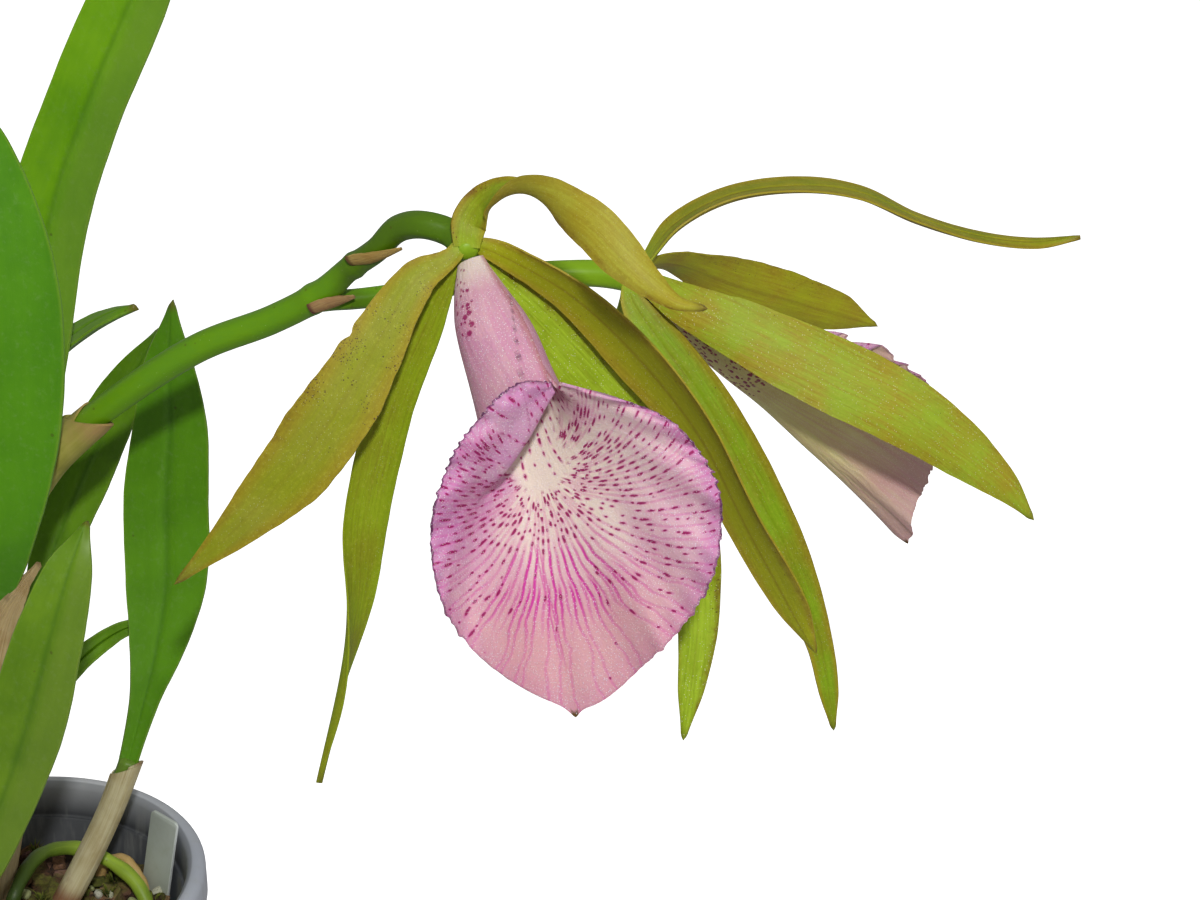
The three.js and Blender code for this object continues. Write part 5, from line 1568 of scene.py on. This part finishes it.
class ORCHID_OT_bark(Maker, Operator):
    """Makes the bark mix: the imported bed, loose chips, pumice grains and moss"""
    bl_idname = "orchid.bark"
    bl_label = "Bark, grains and moss"

    def make(self, scene):
        pot = scene.orchid_pot
        rng = np.random.default_rng(pot.seed)
        parts = [self.bed()]
        draws = same_draws(BARK_SEED)

        def add_chip(size, turns, place):
            chip = chip_part(rng, size, rng.random()).placed(turn_xyz(*turns), place)
            parts.append(held_in(chip))

        for i in range(BARK_CHIPS):
            reach = CHIP_REACH * math.sqrt((i + 0.5) / BARK_CHIPS)
            angle = i * GOLDEN_ANGLE
            size = (5 + 6 * next(draws), 4 + 3 * next(draws), 3 + 2 * next(draws))
            turns = (0.5 * (next(draws) - 0.5), 0.6 * (next(draws) - 0.5), math.pi * next(draws))
            place = (reach * math.cos(angle), reach * math.sin(angle), BARK_LEVEL + 0.5)
            add_chip(size, turns, place)
        for _ in range(pot.small_chips):
            x, y = scattered(rng, SMALL_CHIP_REACH)
            size = (1.5 + 3.5 * rng.random(), 1 + 2 * rng.random(), 0.8 + 1.2 * rng.random())
            turns = (*rng.normal(0, 0.35, 2), math.pi * rng.random())
            place = (x, y, BARK_LEVEL + 0.6 + 2.2 * rng.random())
            add_chip(size, turns, place)
        dress("bark_mix", parts, bark_finish(pot), ["bark_substrate"], 30)
        grains = [self.grain(rng) for _ in range(pot.grains)]
        dress("pumice_grains", grains, grain_finish(), (), 60)
        tufts = [self.tuft(rng) for _ in range(pot.moss_tufts)]
        dress("moss", tufts, moss_finish(pot), (), 80)

    def bed(self):
        """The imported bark: a round block that fills the pot, with an uneven top."""
        rings, steps = 30, 96
        floor = POT_FLOOR + 0.3
        ring = circle(steps)
        points = [np.column_stack([ring * 0.01, np.full(steps, floor)]),
                  np.column_stack([ring * (inside_radius(floor) - BED_GAP), np.full(steps, floor)])]
        side = 8
        for i in range(1, side):
            z = floor + (BARK_LEVEL - 2 - floor) * i / side
            points.append(np.column_stack([ring * (inside_radius(z) - BED_GAP), np.full(steps, z)]))
        for i in range(rings + 1):
            reach = max((inside_radius(BARK_LEVEL) - BED_GAP) * (1 - i / rings), 0.01)
            xy = ring * reach
            points.append(np.column_stack([xy, bark_top(xy[:, 0], xy[:, 1])]))
        faces = tube_faces(len(points), steps)
        points = np.concatenate(points)
        return Part(points, facing_out(points, faces), tone=0.25)

    def grain(self, rng):
        """One grain of pumice."""
        ball = bmesh.new()
        bmesh.ops.create_icosphere(ball, subdivisions=2, radius=1)
        points, faces = taken_from(ball)
        bumps = 0.16 * np.sin(points @ rng.normal(0, 3, 3) + 1)
        bumps += 0.1 * np.sin(points @ rng.normal(0, 5, 3))
        points = points * (1 + bumps[:, None]) * (0.6 + 0.9 * rng.random()) * np.array([1, 0.85, 0.75])
        place = (*scattered(rng, GRAIN_REACH), BARK_LEVEL + 1.2 + 2.2 * rng.random())
        return Part(points, faces, tone=rng.random()).placed(turn_xyz(*rng.random(3) * 3), place)

    def tuft(self, rng):
        """One tuft of moss: short curved blades round a middle."""
        middle = np.array([*scattered(rng, TUFT_REACH), BARK_LEVEL + 1.8 + 1.4 * rng.random()])
        points, faces, along = [], [], []
        for _ in range(TUFT_BLADES):
            lean, bearing = 0.15 + 0.75 * rng.random(), 2 * math.pi * rng.random()
            length, width = 1.6 + 1.6 * rng.random(), 0.16
            out = np.array([math.cos(bearing), math.sin(bearing), 0])
            flank = np.array([-out[1], out[0], 0]) * width
            foot = middle + out * rng.random() * 0.9
            knee = foot + (out * math.sin(lean) * 0.4 + np.array([0, 0, math.cos(lean) * 0.6])) * length
            tip = foot + (out * math.sin(lean) + np.array([0, 0, math.cos(lean) * 0.85])) * length
            start = len(points)
            points += [foot + flank, foot - flank, foot + out * width, knee + flank * 0.8,
                       knee - flank * 0.8, knee + out * width * 0.8, tip]
            along += [0, 0, 0, 0.6, 0.6, 0.6, 1]
            for a, b, c in ((0, 2, 1), (3, 5, 6), (5, 4, 6), (4, 3, 6)):
                faces.append([start + a, start + b, start + c])
            for a, b in ((0, 2), (2, 1), (1, 0)):
                faces.append([start + a, start + a + 3, start + b + 3, start + b][::-1])
        points = np.array(points)
        return Part(points, facing_out(points, faces), along=np.array(along, float), tone=rng.random())


class ORCHID_OT_rhizome(Maker, Operator):
    """Makes the creeping rhizome with its ringed scars, and the roots over the bark"""
    bl_idname = "orchid.rhizome"
    bl_label = "Rhizome and roots"

    def make(self, scene):
        def scars(t):
            return 0.05 * np.sin(t * 75) + 0.03 * np.sin(t * 31)

        parts = [stem(stations, rings=90, sides=28, swell=scars) for stations in RHIZOME]
        skin = papery_finish("rhizome_skin", paint(150, 118, 72), paint(122, 84, 44),
                             paint(74, 46, 24), 0.7)
        dress("rhizome_stem", parts, skin, ["rhizome"])
        shades = [
            (scene.orchid_foliage.root_colour, paint(104, 134, 40), paint(54, 74, 24)),
            (paint(196, 164, 104), paint(164, 126, 74), paint(120, 88, 50)),
            (paint(176, 182, 120), paint(138, 146, 84), paint(104, 92, 54)),
            (paint(186, 178, 130), paint(148, 136, 90), paint(104, 92, 54)),
            (paint(168, 186, 92), paint(126, 146, 60), paint(104, 92, 54)),
        ]

        def knobs(t):
            return 0.06 * np.sin(t * 23 + 1) + 0.04 * np.sin(t * 57)

        for i, (stations, (fresh, shaded, blush)) in enumerate(zip(ROOTS, shades), 1):
            skin = stem_finish(f"root_skin_{i}", fresh, shaded, blush, 0.75 if i == 1 else 0.25)
            root = stem(stations, rings=70, sides=20, swell=knobs)
            dress(f"live_root_{i}", [root], skin, [f"root_{i}"])


class ORCHID_OT_bulbs(Maker, Operator):
    """Makes the slender ribbed pseudobulbs, each wrapped in dry remains of its sheath"""
    bl_idname = "orchid.bulbs"
    bl_label = "Pseudobulbs"

    def make(self, scene):
        def joints(t):
            return 0.07 * np.exp(-(((t * 5) % 1 - 0.5) / 0.06) ** 2)

        skin = stem_finish("bulb_skin", scene.orchid_foliage.bulb_colour, paint(88, 122, 36),
                           paint(150, 118, 74), 0.2)
        wrap_skin = papery_finish("bulb_wrap", paint(206, 190, 150), paint(172, 148, 104),
                                  paint(112, 78, 44), 0.6)
        for letter, stations in BULBS.items():
            bulb = stem(stations, rings=80, sides=28, ribs=0.09, rib_count=9, swell=joints)
            dress(f"bulb_{letter}", [bulb], skin, [f"pseudobulb_{letter}"])
            if letter != "d":
                wide = [[x, y, z, diameter + BULB_WRAP] for x, y, z, diameter in stations]

                def mouth(share, phase=ord(letter)):
                    return 0.5 + 0.06 * share + 0.012 * np.sin(share * 19 + phase)

                wrap = sleeve(wide, 205, mouth, turn=40 * ord(letter), thickness=0.18, rows=50)
                dress(f"bulb_wrap_{letter}", [wrap], wrap_skin)


class ORCHID_OT_leaves(Maker, Operator):
    """Makes the seven strap leaves, each with its sunk midrib"""
    bl_idname = "orchid.leaves"
    bl_label = "Leaves"

    def make(self, scene):
        foliage = scene.orchid_foliage
        looks = leaf_looks(foliage)
        for i, (letter, stations) in enumerate(LEAVES.items()):
            part = blade(stations, rows=110, cols=28, spine=1.7, edge=0.5, facing=VIEWER, wave=0.15,
                         groove=foliage.leaf_groove / MM, keel=0.5, teeth=0.05, seed=i)
            skin = leaf_finish(f"leaf_skin_{letter}", foliage, looks[letter])
            dress(f"leaf_blade_{letter}", [part], skin, [f"leaf_{letter}"], 60)


class ORCHID_OT_sheaths(Maker, Operator):
    """Makes the papery fan and sleeve round two growths, and the spathe round the stalk's foot"""
    bl_idname = "orchid.sheaths"
    bl_label = "Sheaths and spathe"

    def make(self, scene):
        fan = blade(SHEATH_A, rows=80, cols=40, spine=0.45, edge=0.2, facing=(0.15, 0.9, -0.4),
                    wave=0.15, waves=7, pleats=0.14, teeth=0.18, seed=4)
        skin = papery_finish("sheath_skin_a", paint(206, 184, 136), paint(166, 134, 84),
                             paint(96, 60, 30), 0.6)
        dress("papery_fan", [fan], skin, ["sheath_a"], 60)

        def slanted(share):
            split = 0.05 * np.exp(-((share - 0.3) / 0.05) ** 2)
            return 0.93 + 0.07 * np.cos(share * math.pi * 1.05 + 2.2) - split

        roll = sleeve(SHEATH_D, 195, slanted, turn=20, thickness=0.28, inset=0.15, rows=70, cols=96)
        skin = papery_finish("sheath_skin_d", paint(206, 198, 158), paint(168, 150, 104),
                             paint(120, 66, 40), 0.4)
        dress("papery_sleeve", [roll], skin, ["sheath_d"], 60)

        def outer_mouth(share):
            return 0.885 + 0.1 * np.cos(share * math.radians(200))

        def inner_mouth(share):
            return 0.82 + 0.1 * np.cos(share * math.radians(190))

        outer = sleeve(SPATHE, 200, outer_mouth, turn=-130, flatten=0.8, thickness=0.45, rows=50)
        inner = sleeve(SPATHE, 190, inner_mouth, turn=60, flatten=0.8, thickness=0.35, inset=0.95,
                       rows=50)
        dress("spathe_scales", [outer, inner], spathe_finish(), ["spathe"], 60)


class ORCHID_OT_stalk(Maker, Operator):
    """Makes the arching flower stalk with its fork, and the bract under each joint"""
    bl_idname = "orchid.stalk"
    bl_label = "Flower stalk and bracts"

    def make(self, scene):
        def joints(t):
            return 0.13 * np.exp(-((t - 0.63) / 0.011) ** 2) + 0.1 * np.exp(-((t - 0.525) / 0.011) ** 2)

        def fork_foot(t):
            return 0.25 * np.exp(-((t - 0.04) / 0.06) ** 2)

        main = stem(STALK_MAIN, rings=190, sides=32, ribs=0.05, rib_count=6, swell=joints)
        fork = stem(STALK_FORK, rings=110, sides=32, ribs=0.05, rib_count=6, swell=fork_foot)
        skin = stalk_finish(scene.orchid_foliage)
        dress("stalk_stem", [main, fork], skin, ["flower_stalk"])
        colours = {
            1: (paint(190, 160, 104), paint(150, 104, 74), paint(92, 48, 44), 0.8),
            2: (paint(204, 178, 104), paint(158, 122, 62), paint(84, 48, 26), 0.6),
        }
        for number, stations in BRACTS.items():
            scale = blade(stations, rows=40, cols=24, spine=0.55, edge=0.2,
                          facing=(-0.5, 0.6, 0.62), wave=0.1, pleats=0.05, teeth=0.05, seed=number)
            skin = papery_finish(f"bract_skin_{number}", *colours[number])
            dress(f"bract_scale_{number}", [scale], skin, [f"bract_{number}"], 60)


class ORCHID_OT_tepals(Maker, Operator):
    """Makes the petals and sepals of both blooms, and the green joint behind them"""
    bl_idname = "orchid.tepals"
    bl_label = "Petals and sepals"

    def make(self, scene):
        flower = scene.orchid_flower
        looks = tepal_looks(flower)
        for name, stations in TEPALS.items():
            bloom = int(name[-1])
            part = in_bloom(blade(stations, rows=130, cols=32, **TEPAL_SHAPES[name]), bloom)
            skin = tepal_finish(f"{name}_skin", flower, looks[name])
            dress(f"{name}_blade", [part], skin, [name], 70)
        skin = stem_finish("joint_skin", paint(150, 182, 40), paint(128, 164, 24), paint(150, 182, 40))
        for bloom in BLOOM_PLACES:
            joint = in_bloom(stem(BLOOM_JOINT, rings=24, sides=28), bloom)
            dress(f"joint_{bloom}", [joint], skin)


class ORCHID_OT_lips(Maker, Operator):
    """Makes the two broad frilled lips"""
    bl_idname = "orchid.lips"
    bl_label = "Lips"

    def make(self, scene):
        flower = scene.orchid_flower
        for bloom, look in lip_looks(flower).items():
            part = lip_part(LIPS[bloom], flower.lip_ruffle / MM, flower.lip_teeth / MM)
            skin = lip_finish(f"lip_skin_{bloom}", flower, look)
            dress(f"lip_{bloom}_sheet", [in_bloom(part, bloom)], skin, [f"lip_{bloom}"], 75)


class ORCHID_OT_columns(Maker, Operator):
    """Makes the column inside each lip, with its cap"""
    bl_idname = "orchid.columns"
    bl_label = "Columns"

    def make(self, scene):
        flower = scene.orchid_flower
        skin = stem_finish("column_skin", flower.column_colour, paint(206, 212, 140),
                           paint(184, 206, 110), 0.3)
        for bloom, lip in LIPS.items():
            club, cap = (self.hung(stations, lip) for stations in (COLUMN, COLUMN_CAP))
            club = stem(club, rings=50, sides=28, ribs=0.08, rib_count=3)
            cap = stem(cap, rings=16, sides=24)
            parts = [in_bloom(part, bloom) for part in (club, cap)]
            dress(f"column_{bloom}_club", parts, skin, [f"column_{bloom}"])

    def hung(self, stations, lip):
        """Stations turned, pressed and sagged with a lip."""
        table = np.array(stations, float)
        table[:, 2] = settled(table[:, 1], table[:, 2], lip)
        table[:, 3] *= 1 - lip["press"]
        table[:, :3] = table[:, :3] @ lip_turn(lip).T
        return table.tolist()


class ORCHID_OT_stage(Maker, Operator):
    """Makes the floor, the lights, the surroundings and the camera"""
    bl_idname = "orchid.stage"
    bl_label = "Stage"

    def make(self, scene):
        stage = scene.orchid_stage
        self.floor(scene)
        up, right = stage.key_height, stage.key_bearing
        level = math.cos(up)
        towards = Vector((math.sin(right) * level, -math.cos(right) * level, math.sin(up)))
        self.lamp(scene, "key", towards * stage.key_distance, stage.key_size, stage.key_power)
        towards = Vector(FILL_WAY).normalized()
        self.lamp(scene, "fill", towards * FILL_DISTANCE, FILL_SIZE, stage.fill_power)
        world = bpy.data.worlds.new("surroundings")
        world.use_nodes = True
        scene.world = world
        sky = world.node_tree.nodes["Background"]
        sky.inputs["Color"].default_value = (1, 1, 1, 1)
        sky.inputs["Strength"].default_value = stage.world_light
        lens = bpy.data.cameras.new("camera")
        lens.lens = stage.focal_length
        lens.sensor_width = SENSOR_WIDTH
        lens.clip_start = 0.01
        camera = bpy.data.objects.new("camera", lens)
        camera.location = stage.camera_place
        camera.rotation_euler = (math.pi / 2 - VIEW_TILT, 0, 0)
        scene.collection.objects.link(camera)
        scene.camera = camera
        scene.view_settings.view_transform = "Standard"

    def floor(self, scene):
        """A round pale floor that curves up into walls. It casts no light on the plant."""
        steps = 96
        points = [(0, 0, 0)]
        for reach, height in FLOOR_PROFILE:
            for k in range(steps):
                angle = 2 * math.pi * k / steps
                points.append((reach * math.cos(angle), reach * math.sin(angle), height))
        faces = [(0, 1 + k, 1 + (k + 1) % steps) for k in range(steps)]
        for ring in range(len(FLOOR_PROFILE) - 1):
            start = 1 + ring * steps
            for k in range(steps):
                a, b = start + k, start + (k + 1) % steps
                faces.append((a, a + steps, b + steps, b))
        mesh = bpy.data.meshes.new("studio_floor")
        mesh.from_pydata(points, [], faces)
        mesh.materials.append(floor_finish(scene.orchid_stage))
        floor = bpy.data.objects.new("studio_floor", mesh)
        scene.collection.objects.link(floor)
        floor.visible_diffuse = floor.visible_glossy = floor.visible_shadow = False

    def lamp(self, scene, name, away, size, power):
        """A round soft light, away from the middle of the blooms, that points at them."""
        light = bpy.data.lights.new(name, "AREA")
        light.shape = "DISK"
        light.size = size
        light.energy = power
        lamp = bpy.data.objects.new(name, light)
        lamp.location = Vector(LIT) + away
        lamp.rotation_euler = (-away).to_track_quat("-Z", "Y").to_euler()
        scene.collection.objects.link(lamp)


MAKERS = (
    ORCHID_OT_stage, ORCHID_OT_pot, ORCHID_OT_label, ORCHID_OT_bark, ORCHID_OT_rhizome,
    ORCHID_OT_bulbs, ORCHID_OT_leaves, ORCHID_OT_sheaths, ORCHID_OT_stalk, ORCHID_OT_tepals,
    ORCHID_OT_lips, ORCHID_OT_columns,
)
SETTINGS = {
    "orchid_flower": OrchidFlowerSettings,
    "orchid_foliage": OrchidFoliageSettings,
    "orchid_pot": OrchidPotSettings,
    "orchid_stage": OrchidStageSettings,
}


class ORCHID_PT_panel(Panel):
    """Lists the sizes, the colours and the pieces"""
    bl_idname = "ORCHID_PT_panel"
    bl_label = "Potted Orchid"
    bl_space_type = "VIEW_3D"
    bl_region_type = "UI"
    bl_category = "Orchid"

    def draw(self, context):
        """Draws the settings, then a button for each maker."""
        for key, group in SETTINGS.items():
            box = self.layout.box()
            for prop in group.__annotations__:
                box.prop(getattr(context.scene, key), prop)
        for maker in MAKERS:
            self.layout.operator(maker.bl_idname)


def register():
    """Adds the classes and the settings to Blender."""
    for cls in (*SETTINGS.values(), *MAKERS, ORCHID_PT_panel):
        bpy.utils.register_class(cls)
    for key, group in SETTINGS.items():
        setattr(bpy.types.Scene, key, PointerProperty(type=group))


def unregister():
    """Takes them out again."""
    for key in SETTINGS:
        delattr(bpy.types.Scene, key)
    for cls in (ORCHID_PT_panel, *reversed(MAKERS), *reversed(SETTINGS.values())):
        bpy.utils.unregister_class(cls)


def main():
    """Builds every piece."""
    register()
    for maker in MAKERS:
        group, name = maker.bl_idname.split(".")
        getattr(getattr(bpy.ops, group), name)()
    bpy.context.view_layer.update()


if __name__ == "__main__":
    main()
